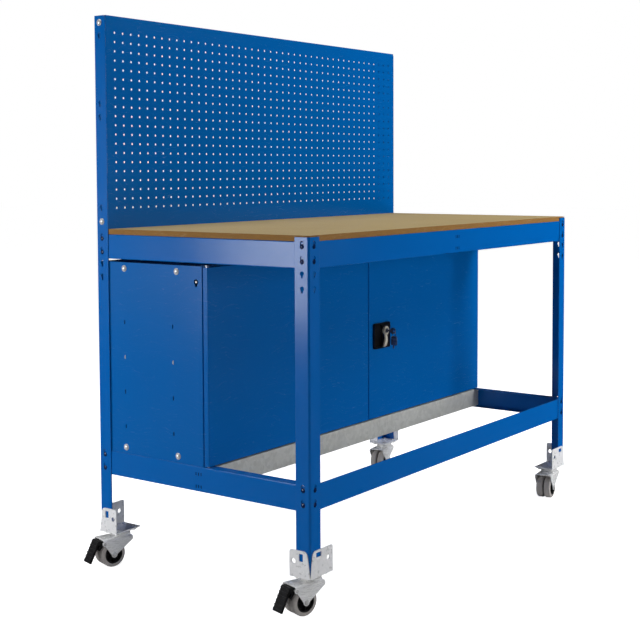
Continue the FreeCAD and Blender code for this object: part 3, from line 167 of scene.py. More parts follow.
class EffectGroup(Graph):
    """The node group of one effect, which every material that uses the effect shares."""

    def __init__(self, effect: Effect) -> None:
        """Builds the group.

        Args:
            effect: the effect that it makes.
        """
        name, inputs, outputs = effect.value
        super().__init__(bpy.data.node_groups.new(name, "ShaderNodeTree"))
        for words, way in ((inputs, "INPUT"), (outputs, "OUTPUT")):
            for word in words:
                kind = "NodeSocketVector" if word == "Normal" else "NodeSocketFloat"
                self.tree.interface.new_socket(name=word, in_out=way, socket_type=kind)
        self.entry = self.tree.nodes.new("NodeGroupInput").outputs
        recipe = {Effect.WEAR: self._wear, Effect.PEEL: self._peel, Effect.CLOUD: self._cloud,
                  Effect.DUST: self._dust, Effect.SCUFF: self._scuff}[effect]
        leave = self.tree.nodes.new("NodeGroupOutput")
        for result, socket in zip(recipe(), leave.inputs):
            self.tree.links.new(result, socket)

    @classmethod
    def of(cls, effect: Effect) -> bpy.types.NodeTree:
        """The group of an effect, built at its first use."""
        return bpy.data.node_groups.get(effect.value[0]) or cls(effect).tree

    def _scaled(self, name: str) -> Socket:
        """Object point times one of the group's inputs."""
        inputs = {0: self.add("TexCoord").outputs["Object"], "Scale": self.entry[name]}
        return self.add("VectorMath", inputs, operation="SCALE").outputs[0]

    def _wear(self) -> tuple[Socket, ...]:
        """Finds the edges, where the rounded normal leaves the flat one.

        Returns:
            The mask of worn edges, and the rounded normal.
        """
        rounded = self.add("Bevel", {"Radius": self.entry["Radius"]}, samples=4)
        rounded = rounded.outputs["Normal"]
        both = {0: rounded, 1: self.add("NewGeometry").outputs["Normal"]}
        dot = self.add("VectorMath", both, operation="DOT_PRODUCT").outputs["Value"]
        broken = self.ramp(self.noise(self.object_point(), 90.0, 4.0), 0.42, 0.62)
        kept = self.times(self.ramp(dot, 0.985, 0.80), broken)
        return self.times(kept, self.entry["Spread"], clamp=True), rounded

    def _peel(self) -> tuple[Socket, ...]:
        """Height of a sprayed and baked coat: soft cells with a finer ripple."""
        fine = self.times(self.noise(self._scaled("Fine scale"), detail=2.0), 0.35)
        return (self.plus(self.noise(self._scaled("Scale"), detail=1.0), fine),)

    def _cloud(self) -> tuple[Socket, ...]:
        """Slow drift between a low and a high value."""
        cloud = self.noise(self._scaled("Scale"), detail=4.0, roughness=0.6)
        return (self.ramp(cloud, 0.3, 0.7, self.entry["Low"], self.entry["High"]),)

    def _dust(self) -> tuple[Socket, ...]:
        """Finds the faces that look up, thinned by noise.

        Returns:
            The mask.
        """
        up = self.ramp(self.facing_up(), 0.4, 0.98)
        patches = self.noise(self._scaled("Scale"), detail=6.0, roughness=0.65)
        settled = self.times(up, self.ramp(patches, 0.35, 0.75))
        return (self.times(settled, self.entry["Amount"], clamp=True),)

    def _scuff(self) -> tuple[Socket, ...]:
        """Draws thin handling marks, from a warped and stretched noise.

        Returns:
            The mask.
        """
        point = self._scaled("Scale")
        warp = self.add("TexNoise", {"Vector": point, "Scale": 0.6, "Detail": 2.0})
        inputs = {0: point, 1: warp.outputs["Color"]}
        bent = self.add("VectorMath", inputs, operation="ADD").outputs[0]
        thin = self.add("Mapping", {"Vector": bent, "Scale": (1.0, 1.0, 14.0)}).outputs["Vector"]
        offset = self.maths("SUBTRACT", self.noise(thin, detail=2.0), 0.5)
        lines = self.ramp(self.maths("ABSOLUTE", offset), 0.012, 0.0)
        return (self.times(lines, self.entry["Amount"], clamp=True),)


class Coating(Graph):
    """A material's graph, with the colour and the rounded normal that its layers build up."""

    def __init__(self, tree: bpy.types.NodeTree, colour: Colour) -> None:
        """Starts from an even colour.

        Args:
            tree: the material's nodes.
            colour: the colour under all layers.
        """
        super().__init__(tree)
        self.body: Any = colour
        self.rounded: Any = None

    def effect(self, effect: Effect, **inputs: float) -> Any:
        """Places a shared effect in the material.

        Args:
            effect: which effect.
            inputs: values of the group's inputs, by their names in small letters.

        Returns:
            The group's outputs.
        """
        node = self.add("Group")
        node.node_tree = EffectGroup.of(effect)
        for name, value in inputs.items():
            node.inputs[name.replace("_", " ").capitalize()].default_value = value
        return node.outputs

    def tint(self, mask: Socket, tone: Any) -> None:
        """Lays a tone over the colour where the mask says so."""
        self.body = self.blend(mask, self.body, tone)

    def cloud(self, scale: float, low: float, high: float) -> Socket:
        """Slow drift between two values."""
        return self.effect(Effect.CLOUD, scale=scale, low=low, high=high)[0]

    def scuffs(self, scale: float, amount: float, share: float) -> Socket:
        """Mask of thin handling marks, times a share."""
        return self.times(self.effect(Effect.SCUFF, scale=scale, amount=amount)[0], share)

    def wear(self, radius: float, spread: float, tone: Colour) -> None:
        """Rounds the edges, and shows a tone on them."""
        mask, self.rounded = self.effect(Effect.WEAR, radius=radius, spread=spread)
        self.tint(mask, tone)

    def dust(self, scale: float, amount: float, tone: Colour) -> None:
        """Lays dust on what looks up."""
        self.tint(self.effect(Effect.DUST, scale=scale, amount=amount)[0], tone)

    def seal(self, rough: Socket, relief: Socket, strength: float, distance: float) -> None:
        """Links the colour, the roughness and the relief to the shader.

        Args:
            rough: the roughness.
            relief: the height of the relief.
            strength: strength of the bump.
            distance: depth of the bump in metres.
        """
        inputs = {"Height": relief, "Strength": strength, "Distance": distance}
        if self.rounded is not None:
            inputs["Normal"] = self.rounded
        bump = self.add("Bump", inputs).outputs["Normal"]
        shader = self.tree.nodes["Principled BSDF"].inputs
        for socket, name in ((self.body, "Base Color"), (rough, "Roughness"), (bump, "Normal")):
            self.tree.links.new(socket, shader[name])


# ---------------------------------------------------------------- finishes


@dataclass(frozen=True)
class Finish:
    """A surface finish; each subclass adds its own layers."""

    name: str
    colour: Colour
    roughness: float = 0.5
    metallic: float = 0.0
    specular: float = 0.5

    def material(self) -> bpy.types.Material:
        """Builds the material at its first use.

        Returns:
            The material of this finish.
        """
        known = bpy.data.materials.get(self.name)
        if known:
            return known
        made = bpy.data.materials.new(self.name)
        made.use_nodes = True
        made.diffuse_color = (*self.colour, 1.0)
        shader = made.node_tree.nodes["Principled BSDF"].inputs
        shader["Metallic"].default_value = self.metallic
        shader["Specular IOR Level"].default_value = self.specular
        self.fill(Coating(made.node_tree, self.colour))
        return made

    def fill(self, coat: Coating) -> None:
        """Adds this finish's layers to the material's graph."""
        raise NotImplementedError


@dataclass(frozen=True)
class Slits:
    """Pressed slits in a beam's web, whose recesses get painted shade; in millimetres from the
    bench's middle and the floor.
    """

    axis: int                           # 0 on the side beams, 1 on the front and rear ones
    depth: float                        # middle of the band of painted shade behind the face of the web
    height: float                       # middle of that band's height
    half_depth: float = 0.5
    half_height: float = 22.5
    half_run: float = 12.0
    # colour of the painted shade in the slits' recesses
    painted_shade: Colour = (0.0, 0.010, 0.05)

    def darken(self, coat: Coating) -> None:
        """Paints shade on the slits' floors and walls, just behind the face of the web, where the
        recess lies in shadow.

        Args:
            coat: the material's graph.
        """
        parts = coat.add("SeparateXYZ", {0: coat.object_point()}).outputs
        deep = coat.maths("ABSOLUTE", parts[self.axis])
        along = coat.maths("ABSOLUTE", parts[1 - self.axis])
        behind = coat.maths("COMPARE", deep, self.depth * MM, self.half_depth * MM)
        beside = coat.maths("COMPARE", parts[2], self.height * MM, self.half_height * MM)
        near = coat.times(coat.maths("LESS_THAN", along, self.half_run * MM), beside)
        # painted shade: the slits' recesses are darkened in colour where shadow falls in them
        coat.tint(coat.times(behind, near), self.painted_shade)


@dataclass(frozen=True)
class PowderCoat(Finish):
    """Baked powder paint: orange peel, worn edges that show primer, handling marks and dust."""

    shade: Colour = (0.0, 0.075, 0.35)
    primer: Colour = (0.16, 0.22, 0.32)
    dust: Colour = (0.42, 0.42, 0.40)
    slits: Slits | None = None

    def fill(self, coat: Coating) -> None:
        """Adds the paint.

        Args:
            coat: the material's graph.
        """
        coat.tint(coat.cloud(scale=1.6, low=0.0, high=0.16), self.shade)
        coat.wear(radius=0.0012, spread=0.75, tone=self.primer)
        coat.dust(scale=26.0, amount=0.12, tone=self.dust)
        # painted shade in the pressed slits of the slitted beams
        if self.slits:
            self.slits.darken(coat)
        marks = coat.scuffs(scale=7.0, amount=0.5, share=0.18)
        sheen = coat.cloud(scale=9.0, low=self.roughness - 0.02, high=self.roughness + 0.02)
        peel = coat.effect(Effect.PEEL, scale=420.0, fine_scale=1500.0)[0]
        coat.seal(coat.plus(sheen, marks, clamp=True), peel, strength=0.16, distance=0.0004)


@dataclass(frozen=True)
class Galvanised(Finish):
    """Hot-dipped steel: crystals of zinc, each with its own tone and sheen."""

    bright: Colour = (0.86, 0.87, 0.89)
    crystal: float = 85.0
    edge: Colour = (0.93, 0.93, 0.94)
    dust: Colour = (0.5, 0.49, 0.47)

    def fill(self, coat: Coating) -> None:
        """Adds the zinc crystals.

        Args:
            coat: the material's graph.
        """
        point = coat.object_point()
        cells = coat.add("TexVoronoi", {"Vector": point, "Scale": self.crystal}, feature="F1")
        tone = coat.add("SeparateColor", {0: cells.outputs["Color"]}).outputs[0]
        soft = coat.noise(point, 30.0, 4.0)
        mixed = coat.plus(coat.times(tone, 0.55), coat.times(soft, 0.45))
        coat.tint(coat.ramp(mixed, 0.2, 0.8), self.bright)
        coat.wear(radius=0.001, spread=0.8, tone=self.edge)
        coat.dust(scale=40.0, amount=0.2, tone=self.dust)
        rough = coat.ramp(tone, 0.0, 1.0, self.roughness - 0.08, self.roughness + 0.12)
        marks = coat.scuffs(scale=12.0, amount=0.6, share=0.2)
        relief = coat.plus(coat.times(tone, 0.4), soft)
        coat.seal(coat.plus(rough, marks, clamp=True), relief, strength=0.12, distance=0.0003)


@dataclass(frozen=True)
class ZincPlate(Finish):
    """Bright zinc plating over pressed steel: faint drawing lines and a warm and cool drift."""

    warm: Colour = (0.85, 0.85, 0.83)
    edge: Colour = (0.92, 0.92, 0.93)
    dust: Colour = (0.4, 0.39, 0.37)
    grain: Point = (60.0, 60.0, 900.0)

    def fill(self, coat: Coating) -> None:
        """Adds the plating.

        Args:
            coat: the material's graph.
        """
        coat.tint(coat.cloud(scale=28.0, low=0.0, high=0.7), self.warm)
        coat.wear(radius=0.0008, spread=0.7, tone=self.edge)
        coat.dust(scale=60.0, amount=0.15, tone=self.dust)
        lines = coat.noise(coat.object_point(self.grain))
        rough = coat.ramp(lines, 0.25, 0.75, self.roughness - 0.02, self.roughness + 0.03)
        coat.seal(rough, lines, strength=0.015, distance=0.0002)


@dataclass(frozen=True)
class Fibreboard(Finish):
    """Pressed wood fibre: fine matted fibres on the face, darker and rougher sawn edges."""

    shade: Colour = (0.352, 0.2613, 0.1188)
    fibre: Colour = (0.25, 0.18, 0.10)
    speck: Colour = (0.62, 0.52, 0.36)
    edge: Colour = (0.20, 0.105, 0.032)
    pale_edge: Colour = (0.32, 0.168, 0.0512)
    rubbed: Colour = (0.50, 0.37, 0.20)
    mark: Colour = (0.55, 0.47, 0.34)
    along: Point = (160.0, 700.0, 700.0)
    across: Point = (700.0, 160.0, 700.0)
    specked: Point = (900.0, 900.0, 900.0)
    layered: Point = (60.0, 60.0, 1600.0)

    def fill(self, coat: Coating) -> None:
        """Adds the board's face and its sawn edges.

        Args:
            coat: the material's graph.
        """
        along, across, layers = (
            coat.noise(coat.object_point(stretch), detail=4.0, roughness=0.7)
            for stretch in (self.along, self.across, self.layered))
        fibres = coat.times(coat.ramp(along, 0.45, 0.7), coat.ramp(across, 0.4, 0.65))
        specks = coat.ramp(coat.noise(coat.object_point(self.specked), detail=2.0), 0.62, 0.7)
        coat.tint(coat.cloud(scale=3.2, low=0.0, high=0.35), self.shade)
        coat.tint(coat.times(fibres, 0.55), self.fibre)
        coat.tint(coat.times(specks, 0.35), self.speck)
        side = coat.ramp(coat.facing_up(), 0.75, 0.45)
        coat.tint(side, coat.blend(coat.ramp(layers, 0.3, 0.7), self.edge, self.pale_edge))
        coat.wear(radius=0.0015, spread=0.5, tone=self.rubbed)
        coat.tint(coat.scuffs(scale=5.0, amount=0.5, share=0.25), self.mark)
        rough = coat.ramp(fibres, 0.0, 1.0, self.roughness, self.roughness + 0.16)
        relief = coat.plus(fibres, coat.times(layers, side))
        coat.seal(rough, relief, strength=0.2, distance=0.0003)


@dataclass(frozen=True)
class Rubber(Finish):
    """Grey non-marking rubber: fine moulded grain, worn paler and dusty on the tread."""

    worn: Colour = (0.48, 0.45, 0.43)
    speck: Colour = (0.22, 0.21, 0.20)
    mark: Colour = (0.45, 0.43, 0.41)

    def fill(self, coat: Coating) -> None:
        """Adds the rubber.

        Args:
            coat: the material's graph.
        """
        coat.tint(coat.cloud(scale=45.0, low=0.0, high=0.8), self.worn)
        speck = coat.ramp(coat.noise(coat.object_point(), 900.0), 0.55, 0.75)
        coat.tint(coat.times(speck, 0.4), self.speck)
        coat.tint(coat.scuffs(scale=30.0, amount=0.7, share=0.4), self.mark)
        rough = coat.ramp(speck, 0.0, 1.0, self.roughness, self.roughness + 0.15)
        grain = coat.noise(coat.object_point(), 1400.0, 2.0)
        coat.seal(rough, grain, strength=0.18, distance=0.0002)


@dataclass(frozen=True)
class Moulded(Finish):
    """Injection-moulded plastic: spark-eroded grain, polished paler on the edges."""

    edge: Colour = (0.16, 0.16, 0.165)
    dust: Colour = (0.28, 0.27, 0.26)
    grain: float = 1700.0
    paler: float = 1.9

    def fill(self, coat: Coating) -> None:
        """Adds the plastic.

        Args:
            coat: the material's graph.
        """
        pale = tuple(channel * self.paler for channel in self.colour)
        coat.tint(coat.cloud(scale=30.0, low=0.0, high=0.5), pale)
        coat.wear(radius=0.0009, spread=0.8, tone=self.edge)
        coat.dust(scale=90.0, amount=0.16, tone=self.dust)
        grain = coat.noise(coat.object_point(), self.grain, 2.0)
        rough = coat.ramp(grain, 0.3, 0.7, self.roughness - 0.06, self.roughness + 0.1)
        coat.seal(rough, grain, strength=0.2, distance=0.0002)


@dataclass(frozen=True)
class Plated(Finish):
    """Polished plating on castings and keys: small ripples, hairlines and fingerprints."""

    stain: Colour = (0.64, 0.61, 0.53)

    def fill(self, coat: Coating) -> None:
        """Adds the plating.

        Args:
            coat: the material's graph.
        """
        coat.tint(coat.cloud(scale=70.0, low=0.0, high=0.35), self.stain)
        sheen = coat.cloud(scale=55.0, low=self.roughness - 0.06, high=self.roughness + 0.12)
        marks = coat.scuffs(scale=60.0, amount=0.8, share=0.25)
        ripple = coat.noise(coat.object_point(), 160.0, 2.0)
        coat.seal(coat.plus(sheen, marks, clamp=True), ripple, strength=0.06, distance=0.0004)


@dataclass(frozen=True)
class StudioFloor(Finish):
    """Pale matt paint of the studio's floor, lifted towards white for the camera alone."""

    shade: Colour = (0.873, 0.873, 0.873)
    glow: float = 0.93

    def fill(self, coat: Coating) -> None:
        """Adds the paint and the glow.

        Args:
            coat: the material's graph.
        """
        coat.tint(coat.cloud(scale=0.6, low=0.0, high=0.2), self.shade)
        rough = coat.cloud(scale=2.0, low=self.roughness, high=self.roughness + 0.1)
        relief = coat.noise(coat.object_point(), 40.0, 2.0)
        coat.seal(rough, relief, strength=0.02, distance=0.0004)
        seen = coat.add("LightPath").outputs["Is Camera Ray"]
        shader = coat.tree.nodes["Principled BSDF"].inputs
        shader["Emission Color"].default_value = WHITE
        coat.tree.links.new(coat.times(seen, self.glow), shader["Emission Strength"])


class Paintbox:
    """The finishes of this bench, by what they cover."""

    frame_blue = PowderCoat("frame_blue_coat", (0.0002, 0.118, 0.445), roughness=0.17)
    side_slits = replace(frame_blue, name="side_slit_coat",
                         slits=Slits(axis=0, depth=747.4, height=300.5))
    front_slits = replace(frame_blue, name="front_slit_coat",
                          slits=Slits(axis=1, depth=372.4, height=919.0))
    sheet_blue = PowderCoat("sheet_blue_coat", (0.0002, 0.112, 0.41), roughness=0.2,
                            specular=0.3, shade=(0.0, 0.100, 0.36))
    rivet_blue = PowderCoat("rivet_dark_coat", (0.002, 0.016, 0.085), roughness=0.18,
                            specular=1.0, shade=(0.001, 0.010, 0.06), primer=(0.05, 0.08, 0.16))
    zinc_crystal = Galvanised("zinc_crystal_rail", (0.55, 0.56, 0.53), roughness=0.4,
                              metallic=0.25, bright=(0.68, 0.69, 0.66))
    bracket_zinc = Galvanised("zinc_bracket", (0.86, 0.87, 0.89), roughness=0.34,
                              metallic=0.15, bright=(0.94, 0.94, 0.96), crystal=160.0)
    castor_zinc = ZincPlate("castor_zinc_plate", (0.92, 0.93, 0.95), roughness=0.27, metallic=0.16)
    fastener_zinc = ZincPlate("fastener_zinc_plate", (0.92, 0.92, 0.93), roughness=0.16,
                              metallic=0.45)
    board = Fibreboard("worktop_fibreboard", (0.44, 0.335, 0.165), roughness=0.7, specular=0.1)
    tyre = Rubber("tyre_grey_rubber", (0.40, 0.375, 0.36), roughness=0.62)
    hub = Moulded("hub_black_plastic", (0.012, 0.012, 0.013), roughness=0.42)
    pedal = Moulded("pedal_black_plastic", (0.008, 0.008, 0.009), roughness=0.5, specular=0.3,
                    grain=1100.0)
    lock_case = Moulded("lock_black_plastic", (0.006, 0.006, 0.007), roughness=0.34)
    buffer = Moulded("buffer_black_rubber", (0.02, 0.02, 0.02), roughness=0.7)
    lever = Plated("lever_satin_chrome", (0.86, 0.82, 0.70), roughness=0.26, metallic=0.25)
    key = Plated("key_nickel", (0.20, 0.21, 0.27), roughness=0.22, metallic=0.6,
                 stain=(0.13, 0.13, 0.16))
    floor = StudioFloor("studio_floor_paint", (0.90, 0.90, 0.90), roughness=0.6)


# ---------------------------------------------------------------- modelling


def metres(lengths: Sequence[float]) -> list[float]:
    """Lengths in millimetres as metres."""
    return [length * MM for length in lengths]


def facing(direction: Vector, least: float = 0.9) -> Test:
    """Test for faces that look along a direction."""
    return lambda place, normal: normal.dot(direction) > least


def add_modifier(piece: bpy.types.Object, kind: str, **settings: Any) -> bpy.types.Modifier:
    """Adds a modifier to an object and sets it.

    Args:
        piece: the object.
        kind: the modifier's type.
        settings: its settings.

    Returns:
        The modifier.
    """
    modifier = piece.modifiers.new(kind.title(), kind)
    for key, value in settings.items():
        setattr(modifier, key, value)
    return modifier


class Workpiece:
    """A mesh that the modelling operators shape, in millimetres, before it is handed over."""

    def __init__(self, name: str) -> None:
        """Takes the object that is active."""
        self.object = bpy.context.view_layer.objects.active
        self.object.name = name

    @staticmethod
    def clear() -> None:
        """Leaves edit mode and deselects everything."""
        if bpy.context.object and bpy.context.object.mode != "OBJECT":
            bpy.ops.object.mode_set(mode="OBJECT")
        bpy.ops.object.select_all(action="DESELECT")

    @classmethod
    def start(cls, name: str, add: Callable[..., Any], centre: Sequence[float],
              **settings: Any) -> "Workpiece":
        """Adds a primitive, and makes its place, turn and size part of its mesh.

        Args:
            name: the piece's name.
            add: the operator that adds the primitive.
            centre: its middle.
            settings: the operator's other settings, with lengths in metres.

        Returns:
            The new workpiece.
        """
        cls.clear()
        add(location=metres(centre), **settings)
        bpy.ops.object.transform_apply(location=True, rotation=True, scale=True)
        return cls(name)

    @classmethod
    def cube(cls, name: str, size: Sequence[float], centre: Sequence[float]) -> "Workpiece":
        """Starts from a box about a centre."""
        add = bpy.ops.mesh.primitive_cube_add
        return cls.start(name, add, centre, size=1.0, scale=metres(size))

    @classmethod
    def cylinder(cls, name: str, radius: float, depth: float, centre: Sequence[float],
                 turn: Point, sides: int = 48) -> "Workpiece":
        """Starts from a cylinder about a centre, turned from the Z axis."""
        add = bpy.ops.mesh.primitive_cylinder_add
        return cls.start(name, add, centre, vertices=sides, radius=radius * MM,
                         depth=depth * MM, rotation=turn)

    @classmethod
    def torus(cls, name: str, ring: float, wire: float) -> "Workpiece":
        """Starts from a level ring of round wire about the origin."""
        return cls.start(name, bpy.ops.mesh.primitive_torus_add, (0.0, 0.0, 0.0),
                         major_radius=ring * MM, minor_radius=wire * MM,
                         major_segments=48, minor_segments=10)

    def take(self, others: Sequence["Workpiece"] = ()) -> None:
        """Selects this piece as the active one, and others with it.

        Args:
            others: what else is selected.
        """
        self.clear()
        for piece in (*others, self):
            piece.object.select_set(True)
        bpy.context.view_layer.objects.active = self.object

    def pick(self, test: Test) -> "Workpiece":
        """Selects faces by place and normal.

        Args:
            test: takes a face's centre in millimetres and its normal.

        Returns:
            This workpiece, in edit mode.
        """
        self.take()
        bpy.ops.object.mode_set(mode="EDIT")
        bpy.ops.mesh.select_mode(type="FACE")
        bpy.ops.mesh.select_all(action="DESELECT")
        for face in bmesh.from_edit_mesh(self.object.data).faces:
            face.select_set(test(face.calc_center_median() / MM, face.normal))
        bmesh.update_edit_mesh(self.object.data)
        return self

    def extrude(self, move: Sequence[float]) -> "Workpiece":
        """Extrudes the picked faces by a move."""
        bpy.ops.mesh.extrude_region_move(TRANSFORM_OT_translate={"value": metres(move)})
        return self

    def move(self, move: Sequence[float]) -> "Workpiece":
        """Moves what is picked."""
        bpy.ops.transform.translate(value=metres(move))
        return self

    def resize(self, factors: Sequence[float]) -> "Workpiece":
        """Scales what is picked about its middle."""
        bpy.ops.transform.resize(value=factors)
        return self

    def inset(self, thickness: float, depth: float = 0.0) -> "Workpiece":
        """Insets the picked faces, and lifts or sinks them."""
        bpy.ops.mesh.inset(thickness=thickness * MM, depth=depth * MM)
        return self

    def soften(self, offset: float, segments: int = 2, angle: float = 35.0) -> "Workpiece":
        """Rounds every edge that is sharper than an angle in degrees."""
        return self.modify("BEVEL", width=offset * MM, segments=segments,
                           angle_limit=math.radians(angle))

    def modify(self, kind: str, **settings: Any) -> "Workpiece":
        """Adds a modifier and applies it.

        Args:
            kind: the modifier's type.
            settings: its settings.

        Returns:
            This workpiece.
        """
        self.take()
        modifier = add_modifier(self.object, kind, **settings)
        bpy.ops.object.modifier_apply(modifier=modifier.name)
        return self

    def absorb(self, others: Sequence["Workpiece"], name: str) -> "Workpiece":
        """Joins other workpieces into this one.

        Args:
            others: what it takes in.
            name: the joined piece's name.

        Returns:
            This workpiece.
        """
        self.take(others)
        bpy.ops.object.join()
        self.object.name = name
        return self

    def copies(self, places: dict[str, Matrix]) -> list["Workpiece"]:
        """Copies the piece, each copy with its own mesh, and removes the pattern.

        Args:
            places: each copy's place in metres, by its name.

        Returns:
            The copies.
        """
        made = []
        for name, place in places.items():
            self.clear()
            twin = self.object.copy()
            twin.data = self.object.data.copy()
            bpy.context.scene.collection.objects.link(twin)
            bpy.context.view_layer.objects.active = twin
            twin.data.transform(place)
            if place.determinant() < 0:
                twin.data.flip_normals()
            made.append(Workpiece(name))
        bpy.data.objects.remove(self.object)
        return made

    def hand_over(self, finish: Finish, body: str, slot: str,
                  angle: float = 32.0) -> bpy.types.Object:
        """Dresses the finished piece and makes it ride on a body.

        Args:
            finish: its surface.
            body: the CAD body that carries it.
            slot: the record's material slot; not used.
            angle: edges sharper than this, in degrees, stay sharp.

        Returns:
            The finished object.
        """
        self.take()
        bpy.ops.object.shade_smooth_by_angle(angle=math.radians(angle))
        self.object.data.materials.clear()
        self.object.data.materials.append(finish.material())
        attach(self.object, body)
        LOG.info("%s: %d faces on %s", self.object.name, len(self.object.data.polygons), body)
        return self.object


def cover(start: str | tuple[str, ...], finish: Finish, edge: float = 0.0) -> None:
    """Gives CAD nodes their finish and, if asked, softened edges.

    Args:
        start: the start of the nodes' names, or several.
        finish: their surface.
        edge: width of the softened edges in millimetres, or 0 for none.
    """
    for name, piece in frame["nodes"].items():
        if not name.startswith(start):
            continue
        piece.data.materials.clear()
        piece.data.materials.append(finish.material())
        LOG.info("%s: %s", name, finish.name)
        if edge:
            add_modifier(piece, "WELD", merge_threshold=WELD_WITHIN * MM)
            add_modifier(piece, "BEVEL", width=edge * MM, segments=2, limit_method="ANGLE",
                         angle_limit=SOFT_FROM)
            add_modifier(piece, "EDGE_SPLIT", split_angle=HARD_FROM)


def joint(name: str) -> dict[str, Any]:
    """The joint of that name."""
    return next(entry for entry in frame["joints"] if entry["name"] == name)


def axis_frame(name: str) -> Matrix:
    """Finds the place of a joint with a level axis.

    Args:
        name: the joint's name.

    Returns:
        Its place, with Y along the axis and Z up.
    """
    along = Vector(joint(name)["axis"]).normalized()
    turn = Matrix((along.cross(UP), along, UP)).transposed().to_4x4()
    return Matrix.Translation(joint(name)["pos_m"]) @ turn


class Corner(Enum):
    """The four corners of the bench, by the names that their nodes and joints share."""

    FRONT_LEFT = "front_left"
    FRONT_RIGHT = "front_right"
    REAR_LEFT = "rear_left"
    REAR_RIGHT = "rear_right"

    def mirror(self) -> Matrix:
        """Takes a piece of the front left corner to this corner."""
        signs = [1.0 if side in self.value else -1.0 for side in ("left", "front")]
        return Matrix.Diagonal((*signs, 1.0, 1.0))

    def castor_frame(self) -> Matrix:
        """Finds the place of this corner's castor.

        Returns:
            Its place on the floor, with X against the trail.
        """
        swivel = Vector(joint("swivel_" + self.value)["pos_m"])
        trail = swivel - Vector(joint(f"wheel_{self.value}_a_spin")["pos_m"])
        turn = Matrix.Rotation(math.atan2(trail.y, trail.x), 4, "Z")
        return Matrix.Translation((swivel.x, swivel.y, 0.0)) @ turn


# ---------------------------------------------------------------- sub-assemblies


@dataclass(frozen=True)
class PaintedFrame:
    """Uprights, beams, rivets, worktop and rail, as they come from the frame."""

    worktop_edge: float = 1.2
    plain: tuple[str, ...] = ("upright_", "top_beam_left", "top_beam_right", "lower_beam_front",
                              "lower_beam_rear")
    slitted_sides: tuple[str, ...] = ("lower_beam_left", "lower_beam_right")
    slitted_fronts: tuple[str, ...] = ("top_beam_front", "top_beam_rear")

    def dress(self) -> None:
        """Gives the frame's nodes their finishes and softened edges."""
        cover(self.plain, Paintbox.frame_blue)
        cover(self.slitted_sides, Paintbox.side_slits)
        cover(self.slitted_fronts, Paintbox.front_slits)
        cover("worktop", Paintbox.board, self.worktop_edge)
        cover("cupboard_rail", Paintbox.zinc_crystal)
        cover("beam_rivets", Paintbox.rivet_blue)
        cover("dome_bolts", Paintbox.fastener_zinc)


@dataclass(frozen=True)
class Cupboard:
    """Sheet carcass, doors, back panel and their small fittings; sizes in millimetres."""

    sheets: tuple[str, ...] = ("cupboard_side", "cupboard_back", "cupboard_floor",
                               "cupboard_roof", "cupboard_shelf", "door_", "pegboard")
    stud_place: Point = (-744.4, 4.0, 837.0)
    stud_radius: float = 3.6
    stud_length: float = 3.0
    stud_land: float = 1.62
    stud_rise: float = 0.6
    stud_round: float = 0.5
    buffer_radius: float = 4.5
    buffer_height: float = 3.2
    buffer_land: float = 1.2
    buffer_rise: float = 0.2
    buffer_round: float = 0.6
    buffer_from_ends: float = 30.0
    buffer_from_side: float = 10.5

    def dress(self) -> None:
        """Paints the sheets and adds the studs and the door buffers."""
        cover(self.sheets, Paintbox.sheet_blue)
        cover("cupboard_fittings", Paintbox.fastener_zinc)
        self._studs()
        self._buffers()

    def _studs(self) -> None:
        """Plated studs that show in the side panels' keyholes."""
        stud = Workpiece.cylinder("stud", self.stud_radius, self.stud_length, self.stud_place,
                                  ALONG_X, sides=32)
        stud.pick(facing(LEFT)).inset(self.stud_land).move((-self.stud_rise, 0.0, 0.0))
        places = {"side_stud_left": Matrix.Identity(4),
                  "side_stud_right": Matrix.Diagonal((-1.0, 1.0, 1.0, 1.0))}
        for piece in stud.soften(self.stud_round).copies(places):
            piece.hand_over(Paintbox.fastener_zinc, "root", "zinc_fasteners")

    def _buffers(self) -> None:
        """Soft buffers on the doors' inner corners."""
        for side in ("left", "right"):
            low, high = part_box("door_" + side)
            across = (high.x / MM - self.buffer_from_side if side == "left"
                      else low.x / MM + self.buffer_from_side)
            dots = []
            for height in (low.z / MM + self.buffer_from_ends,
                           high.z / MM - self.buffer_from_ends):
                centre = (across, high.y / MM + self.buffer_height / 2, height)
                dot = Workpiece.cylinder("dot", self.buffer_radius, self.buffer_height, centre,
                                         ALONG_Y, sides=24)
                dot.pick(facing(REAR)).inset(self.buffer_land).move((0.0, self.buffer_rise, 0.0))
                dots.append(dot.soften(self.buffer_round))
            pair = dots[0].absorb(dots[1:], f"door_buffers_{side}")
            pair.hand_over(Paintbox.buffer, f"{side}_door", "lock_black")


